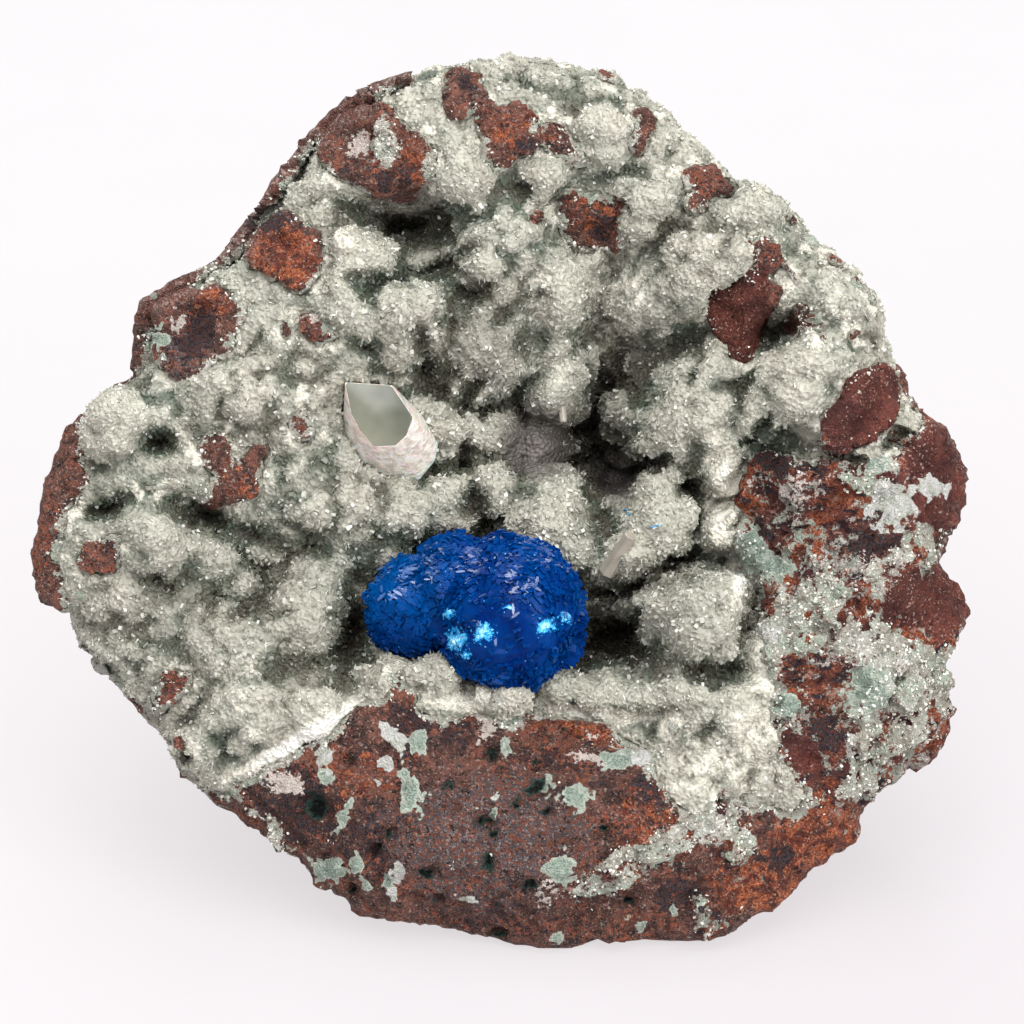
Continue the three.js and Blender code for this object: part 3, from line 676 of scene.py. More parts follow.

# %% [markdown]
# ### Where the crust is white
#
# Next to bare rock the crust is broken through and shows dense and white, and out in the hollow it is
# grey-green and sugary. The distance from each vertex of the crust to the nearest rock tells the two apart,
# and so does the depth under the rim. Over that comes painted shade, darker the deeper the crust lies in
# the hollow, and some listed lumps get painted light and others painted shade.

# %% Lumps in the light and in the shade
# Painted light and painted shade: the lit lumps are painted whiter, the shaded ones darker.
# x, y, half width and half height in squares, turn in degrees, strength.
LIT_LUMPS = [
    (-15.9, 26.3, 3.2, 3.4, 0, 0.9), (-8.9, 26.3, 2, 2, 0, 0.5), (4.4, 14.6, 2.8, 2.8, 0, 1),
    (3.5, 20.3, 2.4, 2.4, 0, 0.9), (14, -0.2, 3.4, 3.4, 0, 0.3), (-20, -14, 3, 3, 0, 0.2),
    (11.5, 21.5, 7, 5, 0, 0.9), (5, 24, 5, 3, 0, 0.8), (21.3, 4, 2, 5, 10, 1.12),
    (23.4, -6, 1.8, 4, -10, 1.3), (25.4, -15, 2, 5, 0, 1.2), (24, -22, 3, 4, 0, 1.1),
    (20, -25, 4, 3, 0, 1), (33, 8.4, 5, 2, 0, 1.3),
    (21, -1.4, 1.8, 4, 0, 1.1), (-20.6, -22.4, 9.6, 1.2, 29, 1.4), (-3, -18.8, 7, 1.5, 0, 1.2),
    (8, -20.4, 7.5, 0.9, -3, 1.2), (-22, 19, 2.6, 3, 0, 0.8), (-27, 22.4, 2, 1.6, 0, 0.8),
]
SHADED_LUMPS = [(-3.4, 17.2, 5, 5, 0, 0.5), (17.2, -9.4, 4.4, 4.4, 0, 0.2), (-26, -8, 10, 8, 0, 0.2)]

# %% Measure the crust
points = vertices_of(crust.data)
places = on_face(points)
to_rock = distances_to(tree_of(rock, chip_piece), points, 4 * MM)
uneven = grain(points, 3.0 * MM, 3, 9)
# near is 1 right beside bare rock, high in front of the face's plane and outer near the outline.
near = 1 - smooth_step(0.3 * MM, 1.5 * MM, to_rock + 0.7 * MM * uneven)
near *= 0.35 + 0.65 * smooth_step(-0.3, 0.15, grain(points, 1.4 * MM, 3, 10))
high = smooth_step(-1.5, 1.5, places[:, 2] * SQUARE / MM + 1.5 * uneven)
outer = smooth_step(22, 34, np.hypot(places[:, 0] * 1.05, places[:, 1] - 4) + 5 * uneven)
rim = np.maximum(near, 0.75 * high * outer)
lit_lumps = spots(places, LIT_LUMPS, 1.2)
# the lit lumps' painted light joins the crust's real white in one number
rim = np.maximum(rim, lit_lumps)
smooth_deep = spots(places, [(x, y, 1.45 * radius, 1.45 * radius, 0) for x, y, radius in DEEP_DOMES])
# painted shade: the crust is darker the deeper it lies behind the face, and on the grey domes
depth_shade = np.maximum(smooth_step(-5, -14, places[:, 2] * SQUARE / MM), smooth_deep)
# height is 1 on the crest of a lump and 0 in the creases. The material paints crests lighter with it as
# painted light, and creases darker as painted shade.
height = smooth_step(0.7, -0.8, hollowness(crust.data, 12) + hollowness(crust.data, 80))
height = height * (1 - 0.6 * near) + 0.6 * near * 0.6
height = np.maximum(height, 0.7 * np.minimum(lit_lumps, 1))
depth_shade = np.maximum(depth_shade * (1 - 0.8 * np.minimum(lit_lumps, 1)), spots(places, SHADED_LUMPS))
store(crust.data, "height", height)
store(crust.data, "rim", rim)
store(crust.data, "depth_shade", depth_shade)
store(crust.data, "dome", smooth_deep)
print("share of the crust that is white:", round(float(rim.mean()), 2))

# %% [markdown]
# ## Shader helpers
#
# A material is a small graph of nodes. These functions keep the graphs short: one adds a node with
# its settings and inputs, the others are the few steps that every material here repeats.

# %% Add nodes in one line each
def fill(tree, socket, value):
    """Links another socket into a socket, or puts a plain value in."""
    if isinstance(value, bpy.types.NodeSocket):
        tree.links.new(value, socket)
    else:
        socket.default_value = value


def add(tree, kind, inputs=None, **settings):
    """A new node of a kind, with its settings, and with numbers or other sockets put in."""
    made = tree.nodes.new(kind)
    for name, value in settings.items():
        setattr(made, name, value)
    for name, value in (inputs or {}).items():
        fill(tree, made.inputs[name], value)
    return made


def mixed(tree, share, first, second):
    """A colour between two others."""
    return add(tree, "ShaderNodeMix", {0: share, 6: first, 7: second}, data_type="RGBA").outputs[2]


def sharpened(tree, value, low, high):
    """A value turned into a mask that goes from 0 to 1 between two thresholds."""
    return add(
        tree, "ShaderNodeMapRange", {"Value": value, "From Min": low, "From Max": high}
    ).outputs["Result"]


def speckle(tree, where, scale, detail=3.0, roughness=0.6):
    """A noise from about 0.3 to 0.7, with scale counted in waves per metre."""
    inputs = {"Vector": where, "Scale": scale, "Detail": detail, "Roughness": roughness}
    return add(tree, "ShaderNodeTexNoise", inputs).outputs["Fac"]


def patchy(tree, where, scale, low, high, detail=3.0, roughness=0.6):
    """A mask of soft or hard patches, from a noise cut between two thresholds."""
    return sharpened(tree, speckle(tree, where, scale, detail, roughness), low, high)


def worked(tree, operation, first, second):
    """One step of arithmetic with two values."""
    return add(tree, "ShaderNodeMath", {0: first, 1: second}, operation=operation).outputs["Value"]


def times(tree, first, second):
    """The product of two values, which also weakens a mask."""
    return worked(tree, "MULTIPLY", first, second)


# %% [markdown]
# ### Materials and groups
#
# Each material here starts from the Principled shader and the Object coordinates, which stay with
# a piece when it is moved. What several materials share is a node group.

# %% Make a material or a group
def kept_number(tree, name):
    """A number that the mesh keeps for each vertex."""
    return add(tree, "ShaderNodeAttribute", attribute_name=name).outputs["Fac"]


def bumped(tree, shader, height, depth):
    """Gives a shader a relief from a height of 0 to 1 and a depth in metres."""
    bump = add(tree, "ShaderNodeBump", {"Height": height, "Distance": depth, "Strength": 1.0})
    tree.links.new(bump.outputs["Normal"], shader.inputs["Normal"])


def new_material(name, **values):
    """A material with its node tree, its shader and the Object coordinates."""
    material = bpy.data.materials.new(name)
    material.use_nodes = True
    tree = material.node_tree
    shader = tree.nodes["Principled BSDF"]
    for socket, value in values.items():
        shader.inputs[socket.replace("_", " ")].default_value = value
    return material, tree, shader, add(tree, "ShaderNodeTexCoord").outputs["Object"]


def new_group(name, inputs, output):
    """A node group for an effect that several materials share: its tree, inputs and output."""
    group = bpy.data.node_groups.new(name, "ShaderNodeTree")
    for socket, kind in inputs.items():
        group.interface.new_socket(socket, in_out="INPUT", socket_type="NodeSocket" + kind)
    group.interface.new_socket(output, in_out="OUTPUT", socket_type="NodeSocket" + output)
    return group, add(group, "NodeGroupInput").outputs, add(group, "NodeGroupOutput").inputs[output]


def srgb(red, green, blue):
    """A colour as a painter reads it off, 0 to 255, turned into light values."""
    def light(c):
        c /= 255
        return c / 12.92 if c <= 0.04045 else ((c + 0.055) / 1.055) ** 2.4

    return (light(red), light(green), light(blue), 1)


# %% [markdown]
# ## Patches on the rock
#
# Basalt breccia is many colours: plain maroon fragments, rust, grey lava, and white and pale green
# zeolite that fills the cracks. Where each one is comes from a short list of soft spots on the
# face, with a strength. The strength says how much of the spot the colour covers, because the
# material cuts each spot up with noise: at 1 it is whole, at 0.3 it is a scatter of specks.

# %% Where the patches are
# x, y, half width and half height in squares, turn in degrees, strength.
PATCHES = {
    "grey": [
        (-2, -32, 11, 7, 0, 0.85), (-4, -37, 8, 4, 0, 0.7), (8, -40, 10, 4, 0, 0.4),
        (-32.4, 16.4, 3, 3.4, -30, 0.8), (-23.4, 29.4, 2.4, 1.1, 0, 0.9), (10, 29.6, 3, 3, 0, 0.5),
        (-15, 35, 4, 3, 0, 0.4), (26, 2, 3, 3, 0, 0.4), (34, 1, 3, 4, 0, 0.5),
    ],
    "dark": [
        (-31.6, 17.4, 1.8, 3, -20, 1), (-24, 29.2, 2.6, 1.2, 0, 1), (-12, 33.4, 1.6, 1.4, 0, 0.8),
        (-16.6, 34.6, 1.2, 1.6, 0, 0.6), (-21, -29, 4, 4, 0, 0.8), (-14, -33, 3, 4, 0, 0.65),
        (-8, -21, 4, 2, 0, 0.8), (27.4, 5, 4.4, 1.6, -10, 0.9), (25, -1.6, 2.4, 1, 0, 0.8),
        (36, -3.4, 3, 1.6, 30, 0.9), (31.6, -22, 2, 1.4, 0, 0.8), (28.4, -16.4, 1, 1.4, 0, 0.8),
        (26.4, -34.4, 3, 2, 0, 0.7), (17, -38, 4, 2.4, 0, 0.75), (36.4, -28.4, 1.8, 1.4, 0, 0.8),
        (1.6, 36.4, 1.2, 1.2, 0, 0.8), (9.6, 28.6, 1.8, 2, 0, 0.7), (-4.6, 43, 1, 1, 0, 0.8),
        (4, -26, 6, 3, 0, 0.48), (-2, -40, 8, 3, 0, 0.5), (13.4, -27.6, 2, 1.6, 0, 0.85),
        (-11, -24, 3, 2, 0, 0.7), (-40.6, -1, 1.4, 2.4, 0, 0.7),
    ],
    "rust": [
        (-22.6, 25.4, 3.6, 3, 0, 1), (-30, 20.6, 2.6, 1.6, -20, 0.8), (-9.5, 34.6, 2.4, 3, 0, 0.7),
        (-4.6, 41.4, 1.8, 2.6, 0, 0.4), (0.2, 37.6, 2.8, 3, 0, 0.6), (5.6, 36.6, 3, 1.5, -35, 0.5),
        (9, 29.8, 4, 3, 0, 0.6), (19.6, 32.4, 3, 2, 0, 0.4), (-16, -27, 5, 4, 0, 0.6),
        (10, -22.6, 9, 1.6, -12, 0.8), (14, -30, 4, 5, 0, 0.6), (-26, 3.4, 4, 2, 0, 0.6),
        (31, -32.5, 5, 4, 0, 1.2), (26, -37, 6, 4, 0, 0.9), (38, -25.6, 4, 1.4, 30, 0.9),
    ],
    "vein": [
        (31, -6, 10, 10, 0, 1.2), (34, -18, 10, 9, 0, 1.2), (37, 5, 5, 3.4, 20, 1),
        (12, -34.8, 6.4, 1.7, 28, 1), (19.4, -30.8, 4.2, 2, 25, 1), (19.2, -40.4, 1.4, 2.8, 0, 0.7),
        (22.5, -33, 1.6, 3, 20, 0.7), (35, -27, 4, 2.4, 0, 0.9), (27, -26, 3, 2.6, 0, 0.7),
        (-24.2, -31.4, 0.5, 5.5, 37, 0.9), (16, -36.6, 8, 3, 25, 0.35),
        (-12.4, 36.8, 1.5, 1.6, 0, 0.9), (-12.8, 35.6, 1.2, 1, 0, 0.8),
        (42, -14, 3, 6, 0, 1.2), (40.6, 8.6, 1.4, 1, 0, 0.6), (35.8, 5.2, 3, 2.6, 0, 1.3),
    ],
    "cluster": [
        (29.6, -0.4, 6, 3.4, -12, 1.2), (25, 4, 2.6, 4, 0, 1), (29.4, 5.4, 4.4, 3, -10, 0.85),
        (27.4, -5, 3.4, 2, -10, 0.9), (33.6, -4.4, 3, 2, 20, 0.9), (25, -9.6, 1.4, 0.8, 0, 0.9),
        (31, -17.6, 4.2, 3, 0, 1), (30.4, -24, 3, 4.4, 10, 0.85), (25.2, -8.2, 1.5, 1, 0, 1),
        (34.6, -8, 1.2, 3, 10, 0.85), (36.6, -1.2, 3, 2, 0, 0.8), (41, -26, 4, 2, 30, 0.8),
        (43, -21.4, 2, 3, 0, 0.6), (37, -23, 5, 3, 0, 0.42),
        (28, -13, 3, 1.6, 0, 0.4), (40, -5.6, 2.4, 1, 0, 0.6), (36.8, -12.4, 2, 2, 0, 0.4),
    ],
    "plain": [
        (23, 19.2, 4.2, 5, 0, 1.1), (34.8, 10, 4.4, 4.8, 0, 1.1), (42.2, 3.4, 3.6, 4.4, 0, 1.2),
        (42, -9.2, 4.6, 3.2, -15, 1.2), (28.8, -24.2, 1.5, 2.8, 25, 1.1), (38, 1.6, 3, 3.2, 0, 0.5),
    ],
    "pink": [
        (-22.6, -27.1, 1.9, 1.4, 0, 0.9), (-2.6, -21.6, 1.3, 1.1, 0, 0.8), (7.1, -24.7, 1.8, 0.8, -25, 0.9),
        (7.8, -22.8, 1, 0.9, 0, 0.6), (4, -38, 0.8, 2, -15, 0.6), (27, 2.6, 5, 1.2, 0, 0.6),
        (-17, -21.6, 1.5, 1, 0, 0.4), (35, -6, 6, 1.4, 0, 0.5), (37, 6.4, 3, 1, 0, 0.4),
        (-15.4, 36.8, 1.6, 1.6, 0, 0.9), (-33.6, 19.4, 1, 1, 0, 0.8), (-20, 20, 1, 1, 0, 0.7),
    ],
}
print("patches on the rock:", {name: len(patches) for name, patches in PATCHES.items()})

# %% [markdown]
# ### From spots to numbers
#
# The spots are smooth ellipses. Before they are looked up, each vertex is shifted by a wandering
# noise, which gives every patch a crooked outline. The veins are cut into islands by a second
# noise, and the crystals of a vein stand a little higher than the rock between them.

# %% Keep the shares on the rock and the chips
crust_tree = tree_of(crust)


def creep(points):
    """How much farther than the crust itself its thin white edge creeps over the rock, in metres."""
    return 0.7 * MM * grain(points, 2.6 * MM, 3, 18)


def marked(piece):
    """Keeps on the piece how much of each colour its vertices have, and returns these shares."""
    points = vertices_of(piece.data)
    places = on_face(points)
    front = near_front(places)
    # A bent place gives an outline a few kinks, a ragged one tears it up.
    ragged = places + wander(points, 2.4 * MM, 1.3) + wander(points, 0.8 * MM, 0.6, 1)
    bent = places + wander(points, 1.2 * MM, 0.35, 1)
    shares = {name: spots(ragged, patches, 1.3) * front for name, patches in PATCHES.items()}
    for name, fillings in (("open", OPEN_BUBBLES), ("white", WHITE_FILLINGS), ("green", GREEN_FILLINGS)):
        shares[name] = spots(bent, fillings, 1.3) * front
    shares["zone"] = shares["vein"]
    covered = np.maximum(shares["cluster"], shares["plain"])
    whole = smooth_step(0.35, 0.7, shares["vein"]) * smooth_step(0.65, 0.35, covered)
    shares["vein"] = whole * smooth_step(-0.32, -0.22, grain(points, 1.7 * MM, 3, 21))
    to_crust = distances_to(crust_tree, points, 2 * MM) - creep(points)
    shares["edge"] = (1 - smooth_step(0.05 * MM, 1.1 * MM, to_crust)) * front * (1 - 0.8 * shares["plain"])
    worn = spots(bent, WORN_STRIP, 1.6)
    shares["weathered"] = np.maximum(smooth_step(0.5, -0.1, frontward(piece.data)), worn)
    for name, share in shares.items():
        store(piece.data, name, share)
    return shares


# %% Mark both pieces and give the right side its relief
marked(chip_piece)
shares = marked(rock)
veined = shares["vein"]
points = vertices_of(rock.data)
knobs = clumps(points, 1.5 * MM, 12)
craggy = smooth_step(0.3, 0.8, np.maximum(shares["zone"], shares["cluster"])) * (1 - shares["plain"])
crags = cells(points + wander(points, 1.0 * MM, 0.3 * MM), 1.5 * MM, 17)[:, 0]
push_out(rock.data, (veined * (0.75 * knobs - 0.25) + 0.42 * craggy * crags) * MM)
print("share of the rock that is veined:", round(float(veined.mean()), 3))

# %% [markdown]
# ### The basalt's colours
#
# The rock is dark brown dotted with rust, and every other colour is laid over that in turn, where
# the sum of the mesh's number and a noise passes a threshold. The noise makes the edge of each
# patch ragged, as crystals that grew into the rock would. All the colours are broken up by the
# same few masks, from regions of some millimetres down to crumbs of a fifth of one.

# %% The masks and the layering
MASK_START = 0.16  # added to the reach of each layer


def laid_over(tree, place, ground, name, colour, scale, reach=0.62, soft=0.04, uneven=0.65):
    """A colour laid over the ground on the share of it that the mesh's number asks for."""
    cover = times(tree, kept_number(tree, name), 0.5)
    height = worked(tree, "ADD", cover, speckle(tree, place, scale, 4.0, uneven))
    mask = sharpened(tree, height, reach + MASK_START, reach + MASK_START + soft)
    return mixed(tree, mask, ground, colour)


def layered(tree, place, ground, layers):
    """Lays each row of a list over the ground in turn: name, colour, noise scale and the rest."""
    for layer in layers:
        ground = laid_over(tree, place, ground, *layer)
    return ground


basalt, tree, shader, place = new_material("red_basalt", Roughness=0.7, Specular_IOR_Level=0.3)
slow = patchy(tree, place, 330.0, 0.43, 0.57)
broad = patchy(tree, place, 420.0, 0.4, 0.6, 4.0)
mottle = patchy(tree, place, 1300.0, 0.44, 0.57)
dots = patchy(tree, place, 3300.0, 0.51, 0.55, 2.0, 0.5)
fine = patchy(tree, place, 6000.0, 0.42, 0.58, 2.0)
pores = patchy(tree, place, 3000.0, 0.37, 0.32, 2.0, 0.5)
crumbs = patchy(tree, place, 5000.0, 0.62, 0.67, 1.0, 0.5)
blotches = patchy(tree, place, 800.0, 0.45, 0.4, 4.0, 0.7)

# %% [markdown]
# ### Brown ground, grey lava and rust
#
# The brown comes from fine iron oxide in old lava. Fresher lava is grey, and where water got in,
# the iron has rusted to orange. Each of the three is a light and a dark tone of its own with the
# shared masks over it.

# %% Brown, grey and rust
lava = mixed(tree, broad, srgb(46, 33, 35), srgb(110, 70, 59))
lava = mixed(tree, mottle, lava, mixed(tree, broad, srgb(102, 62, 53), srgb(172, 111, 92)))
lava = mixed(tree, times(tree, blotches, 0.8), lava, srgb(52, 38, 40))
colour = mixed(tree, times(tree, dots, slow), lava, srgb(184, 99, 68))
colour = mixed(tree, times(tree, fine, 0.4), colour, srgb(140, 108, 98))

grey = mixed(tree, fine, srgb(86, 77, 81), srgb(150, 138, 138))
grey = mixed(tree, mottle, grey, srgb(106, 90, 91))
grey = mixed(tree, dots, grey, srgb(146, 90, 74))
rust = mixed(tree, fine, srgb(164, 82, 50), srgb(226, 134, 90))
rust = mixed(tree, mottle, rust, srgb(122, 60, 46))
rust = mixed(tree, times(tree, blotches, 0.75), rust, srgb(68, 44, 44))
colour = layered(tree, place, colour, (("grey", grey, 1300.0), ("rust", rust, 1200.0)))

# %% [markdown]
# ### The weathered outside
#
# The back, the sides and the old skin along the upper left edge have lain open for long. They are
# paler and pinker, with worn bubble fillings as light specks. Pores and crumbs come after that,
# because they show on fresh and weathered rock alike.

# %% Weathered rock, pores and crumbs
worn = mixed(tree, dots, srgb(164, 130, 120), srgb(230, 210, 202))
worn = mixed(tree, mottle, worn, srgb(128, 88, 79))
regions = patchy(tree, place, 110.0, 0.42, 0.58, 4.0)
worn = mixed(tree, times(tree, regions, 0.55), worn, srgb(112, 62, 52))
amygdules = patchy(tree, place, 620.0, 0.68, 0.7, 2.0, 0.4)
worn = mixed(tree, amygdules, worn, srgb(196, 206, 190))
colour = mixed(tree, times(tree, kept_number(tree, "weathered"), 0.85), colour, worn)
colour = mixed(tree, times(tree, pores, 0.85), colour, srgb(24, 17, 18))
colour = mixed(tree, times(tree, crumbs, 0.5), colour, srgb(216, 192, 178))

# %% [markdown]
# ### The mixed right side
#
# On the right the rock is shot through with zeolite. Fragments of rust-red rock, drawn out a little
# sideways, lie in a white and pale green ground with crystal flecks on them. The fragments' colour
# is laid twice: under the white veins as their ground and over them as islands.

# %% Rock between the veins, and the veins
laid = add(tree, "ShaderNodeMapping", {"Vector": place, "Scale": (0.4, 1.0, 1.0)}).outputs["Vector"]
streaks = speckle(tree, laid, 1100.0, 5.0, 0.7)
reddish = mixed(tree, fine, srgb(138, 66, 44), srgb(204, 116, 78))
clustered = mixed(tree, slow, srgb(100, 56, 50), reddish)
clustered = mixed(tree, sharpened(tree, streaks, 0.46, 0.4), clustered, srgb(58, 42, 50))
clustered = mixed(tree, sharpened(tree, streaks, 0.57, 0.62), clustered, srgb(196, 146, 130))
clustered = mixed(tree, times(tree, pores, 0.8), clustered, srgb(28, 22, 26))
often = times(tree, speckle(tree, place, 260.0), 0.6)
flecks = worked(tree, "ADD", speckle(tree, place, 1400.0, 5.0, 0.75), often)
fleck_colour = mixed(tree, broad, srgb(190, 212, 194), srgb(252, 238, 232))
fleck_colour = mixed(tree, fine, srgb(186, 176, 164), fleck_colour)
clustered = mixed(tree, sharpened(tree, flecks, 0.85, 0.87), clustered, fleck_colour)

milky = mixed(tree, broad, srgb(206, 220, 200), srgb(248, 244, 234))
milky = mixed(tree, mottle, milky, srgb(208, 202, 186))
milky = mixed(tree, patchy(tree, place, 2600.0, 0.62, 0.66), milky, srgb(118, 72, 60))

# %% [markdown]
# ### Dark and plain fragments
#
# Some fragments are nearly black, others an even maroon with few marks. These two and the fillings of the
# bubbles are the last colours that are needed. Green and open bubbles have two layers each, a pale or green
# rim first and the inside over it, with a higher threshold. The near-black inside of an open bubble is
# painted shade in its pit.

# %% The last colours, and all the layers in order
dark = mixed(tree, fine, srgb(44, 35, 40), srgb(88, 74, 78))
dark = mixed(tree, dots, dark, srgb(98, 58, 50))
plain = mixed(tree, broad, srgb(92, 46, 41), srgb(152, 84, 70))
plain = mixed(tree, times(tree, fine, 0.55), plain, srgb(80, 40, 36))
plain = mixed(tree, times(tree, crumbs, slow), plain, srgb(206, 172, 158))
plain = mixed(tree, times(tree, pores, 0.9), plain, srgb(44, 24, 24))
specks = patchy(tree, place, 2700.0, 0.66, 0.69, 3.0, 0.7)
plain = mixed(tree, times(tree, specks, 0.8), plain, srgb(222, 192, 176))
clay = mixed(tree, mottle, srgb(118, 150, 134), srgb(184, 204, 186))
clay = mixed(tree, fine, clay, srgb(204, 218, 202))
white = mixed(tree, mottle, srgb(222, 226, 210), srgb(255, 253, 248))
colour = layered(
    tree,
    place,
    colour,
    (
        ("zone", clustered, 1100.0, 0.5),
        ("vein", milky, 2000.0),
        ("cluster", clustered, 1100.0),
        ("dark", dark, 1100.0, 0.6),
        ("plain", plain, 500.0),
        ("edge", milky, 2200.0, 0.6),
        ("pink", srgb(255, 240, 230), 2200.0),
        ("green", srgb(224, 234, 218), 1300.0, 0.58, 0.03, 0.45),
        ("green", clay, 1300.0, 0.7, 0.05, 0.45),
        ("white", white, 1300.0, 0.6, 0.03, 0.45),
        # The first open layer is the green clay rim, the second the painted shade inside the pit.
        ("open", srgb(58, 92, 82), 1500.0, 0.56, 0.1),
        ("open", srgb(12, 13, 13), 1500.0, 0.66, 0.1),
    ),
)
tree.links.new(colour, shader.inputs["Base Color"])
GRIT_RELIEF = 0.0018  # metres
grit = worked(tree, "ADD", speckle(tree, place, 1500.0, 5.0, 0.75), times(tree, fine, 0.16))
bumped(tree, shader, grit, GRIT_RELIEF)
for piece in (rock, chip_piece):
    piece.data.materials.append(basalt)
print("nodes in the basalt's material:", len(tree.nodes))

# %% [markdown]
# ### The crust's colours
#
# Between the crystals the crust is grey-green and dull, and it is near white where it is broken along a
# fragment. Painted light and shade are laid over that: crests and the listed lit lumps are painted whiter,
# and creases and the depths of the hollow are painted darker in a shade colour. The crust and its crystals
# share one effect and differ in their four colours only, so the effect is a node group that puts out a
# colour, and each material gives it its own.

# %% The druse's colour as a node group
druse_colour, given, colour_out = new_group(
    "druse_colour",
    {"Place": "Vector", "Green": "Color", "Grey": "Color", "White": "Color", "Painted shade": "Color"},
    "Color",
)
tree = druse_colour
patches = sharpened(tree, speckle(tree, given["Place"], 190.0, 3.0), 0.4, 0.62)
ground = mixed(tree, patches, given["Green"], given["Grey"])
# painted highlight: the crests of the lumps are painted whiter
painted_crest_light = times(tree, sharpened(tree, kept_number(tree, "height"), 0.55, 1.05), 0.6)
ragged = worked(tree, "ADD", speckle(tree, given["Place"], 900.0, 4.0, 0.7), -0.5)
ragged = worked(tree, "MULTIPLY_ADD", ragged, 2.1)
ragged.node.inputs[2].default_value = 0.18
whiter = sharpened(tree, worked(tree, "ADD", kept_number(tree, "rim"), ragged), 0.72, 1.28)
colour = mixed(tree, worked(tree, "MAXIMUM", painted_crest_light, whiter), ground, given["White"])
# the whitest tone: the veins' white, and painted light on the most strongly lit listed lumps
whitest = times(tree, sharpened(tree, kept_number(tree, "rim"), 1.06, 1.3), 0.8)
colour = mixed(tree, whitest, colour, srgb(250, 250, 243))
# painted shade in the creases, where the height is low
colour = mixed(tree, sharpened(tree, kept_number(tree, "height"), 0.32, -0.12), colour, given["Painted shade"])
# painted shade deep in the hollow
painted_depth_shade = times(tree, kept_number(tree, "depth_shade"), 0.75)
colour = mixed(tree, painted_depth_shade, colour, given["Painted shade"])
domed = mixed(tree, patches, srgb(102, 96, 92), srgb(82, 78, 73))
tree.links.new(mixed(tree, kept_number(tree, "dome"), colour, domed), colour_out)


def druse_coloured(tree, place, green, grey, white, painted_shade):
    """Adds the shared group to a material, with this material's own four colours."""
    inputs = {"Place": place, "Green": green, "Grey": grey, "White": white, "Painted shade": painted_shade}
    return add(tree, "ShaderNodeGroup", inputs, node_tree=druse_colour).outputs["Color"]


# %% The zeolite material
zeolite, tree, shader, place = new_material("zeolite_druse", Roughness=0.5)
# the last of the four colours is the painted shade of creases and depths
colour = druse_coloured(
    tree, place, srgb(84, 92, 79), srgb(98, 95, 83), srgb(208, 204, 190), srgb(66, 58, 48)
)
tree.links.new(colour, shader.inputs["Base Color"])
SUGAR_RELIEF = 0.00022  # metres
sugar = add(tree, "ShaderNodeTexVoronoi", {"Vector": place, "Scale": 3000.0}).outputs["Distance"]
bumped(tree, shader, sugar, SUGAR_RELIEF)
crust.data.materials.append(zeolite)

# %% [markdown]
# ## The crystals of the druse
#
# Each lump is covered in glassy crystals a few tenths of a millimetre long. An eight-sided grain,
# drawn out to a needle, and a plain block are modelled and copied tens of thousands of times over
# the skin, each copy with its own lean, size and tone. Geometry Nodes could do it too; arrays are
# used because each copy's number for the material is then easy to keep.

# %% Two shapes, and how they are strewn
def druse_grain():
    """A stubby crystal with eight faces, from 0 to 1 on z."""
    shape = bmesh.new()
    at = Matrix.Translation((0, 0, 0.5))
    bmesh.ops.create_uvsphere(shape, u_segments=4, v_segments=2, radius=0.6, matrix=at)
    bmesh.ops.triangulate(shape, faces=shape.faces)
    return shape


def blade_shape(taper, ridge, slant=0.0):
    """A block from 0 to 1 on z whose top is drawn in, to a ridge if it is drawn in far, or slanted."""
    shape = bmesh.new()
    bmesh.ops.create_cube(shape, size=1, matrix=Matrix.Translation((0, 0, 0.5)))
    for vertex in shape.verts:
        if vertex.co.z > 0.5:
            vertex.co.z -= slant * (vertex.co.x + 0.5)
            vertex.co.x *= taper
            vertex.co.y *= ridge
    bmesh.ops.triangulate(shape, faces=shape.faces)
    return shape


def druse_piece(name, ground, shape, count, seed, widths, stretch, lean=0.8, sunk=0.4):
    """Crystals strewn over a ground: a mesh, where it is bare, and the numbers the crystals keep."""
    draw = np.random.default_rng(seed)
    mesh, bare, numbers = ground

    def wanted(normals, corners):
        return smooth_step(-0.35, 0.1, normals @ TURN[:, 2]) * (1 - bare[corners].mean(1))

    seats, normals, corners = strewn(mesh, count, draw, wanted)
    here = {number: values[corners].mean(1) for number, values in numbers.items()}
    turns = turns_along(normals + lean * draw.normal(size=normals.shape), draw.normal(size=normals.shape))
    width = draw.uniform(*widths, count) * MM * (1 - 0.3 * here["rim"])
    length = width * draw.uniform(*stretch, count) * (1 - 0.3 * here["rim"])
    sizes = np.stack([width, width * draw.uniform(0.5, 1, count), length], axis=1)
    seats -= turns[:, :, 2] * length[:, None] * sunk
    return copies(name, shape, seats, turns, sizes, {"tone": draw.random(count), **here})


# %% [markdown]
# ### Where the crystals grow
#
# Crystals stand all over the crust, but not right beside bare rock and not on the grey domes. They
# also stand on the white veins of the right side, and in a broken fringe where the crust thins
# out over the rock. The numbers that a ground keeps go over to the crystals that stand on it.

# %% The ground on the crust
bare = 1 - smooth_step(0.05 * MM, 0.3 * MM, to_rock)
bare = np.maximum(bare, 0.9 * smooth_step(0.3, 0.7, smooth_deep))
crust_ground = (crust.data, bare, {"rim": rim, "depth_shade": depth_shade, "height": height, "dome": smooth_deep})
print("share of the crust that stays bare:", round(float(bare.mean()), 3))

# %% The ground on the rock
VEIN_WHITE = 1.15  # how white a vein's crystals are; above 1.06 the whitest tone comes in

level = np.zeros(len(veined))
rock_points = vertices_of(rock.data)
to_crust = distances_to(crust_tree, rock_points, 2 * MM) - creep(rock_points)
fringe = 1 - smooth_step(0.2 * MM, 1.0 * MM, to_crust)
fringe = smooth_step(0.35, 0.7, fringe + 0.6 * grain(rock_points, 0.9 * MM, 2, 13))
fringe *= smooth_step(0.1, 0.5, frontward(rock.data)) * (1 - 0.8 * shares["plain"])
overgrown = np.maximum(veined, fringe * near_front(on_face(rock_points)))
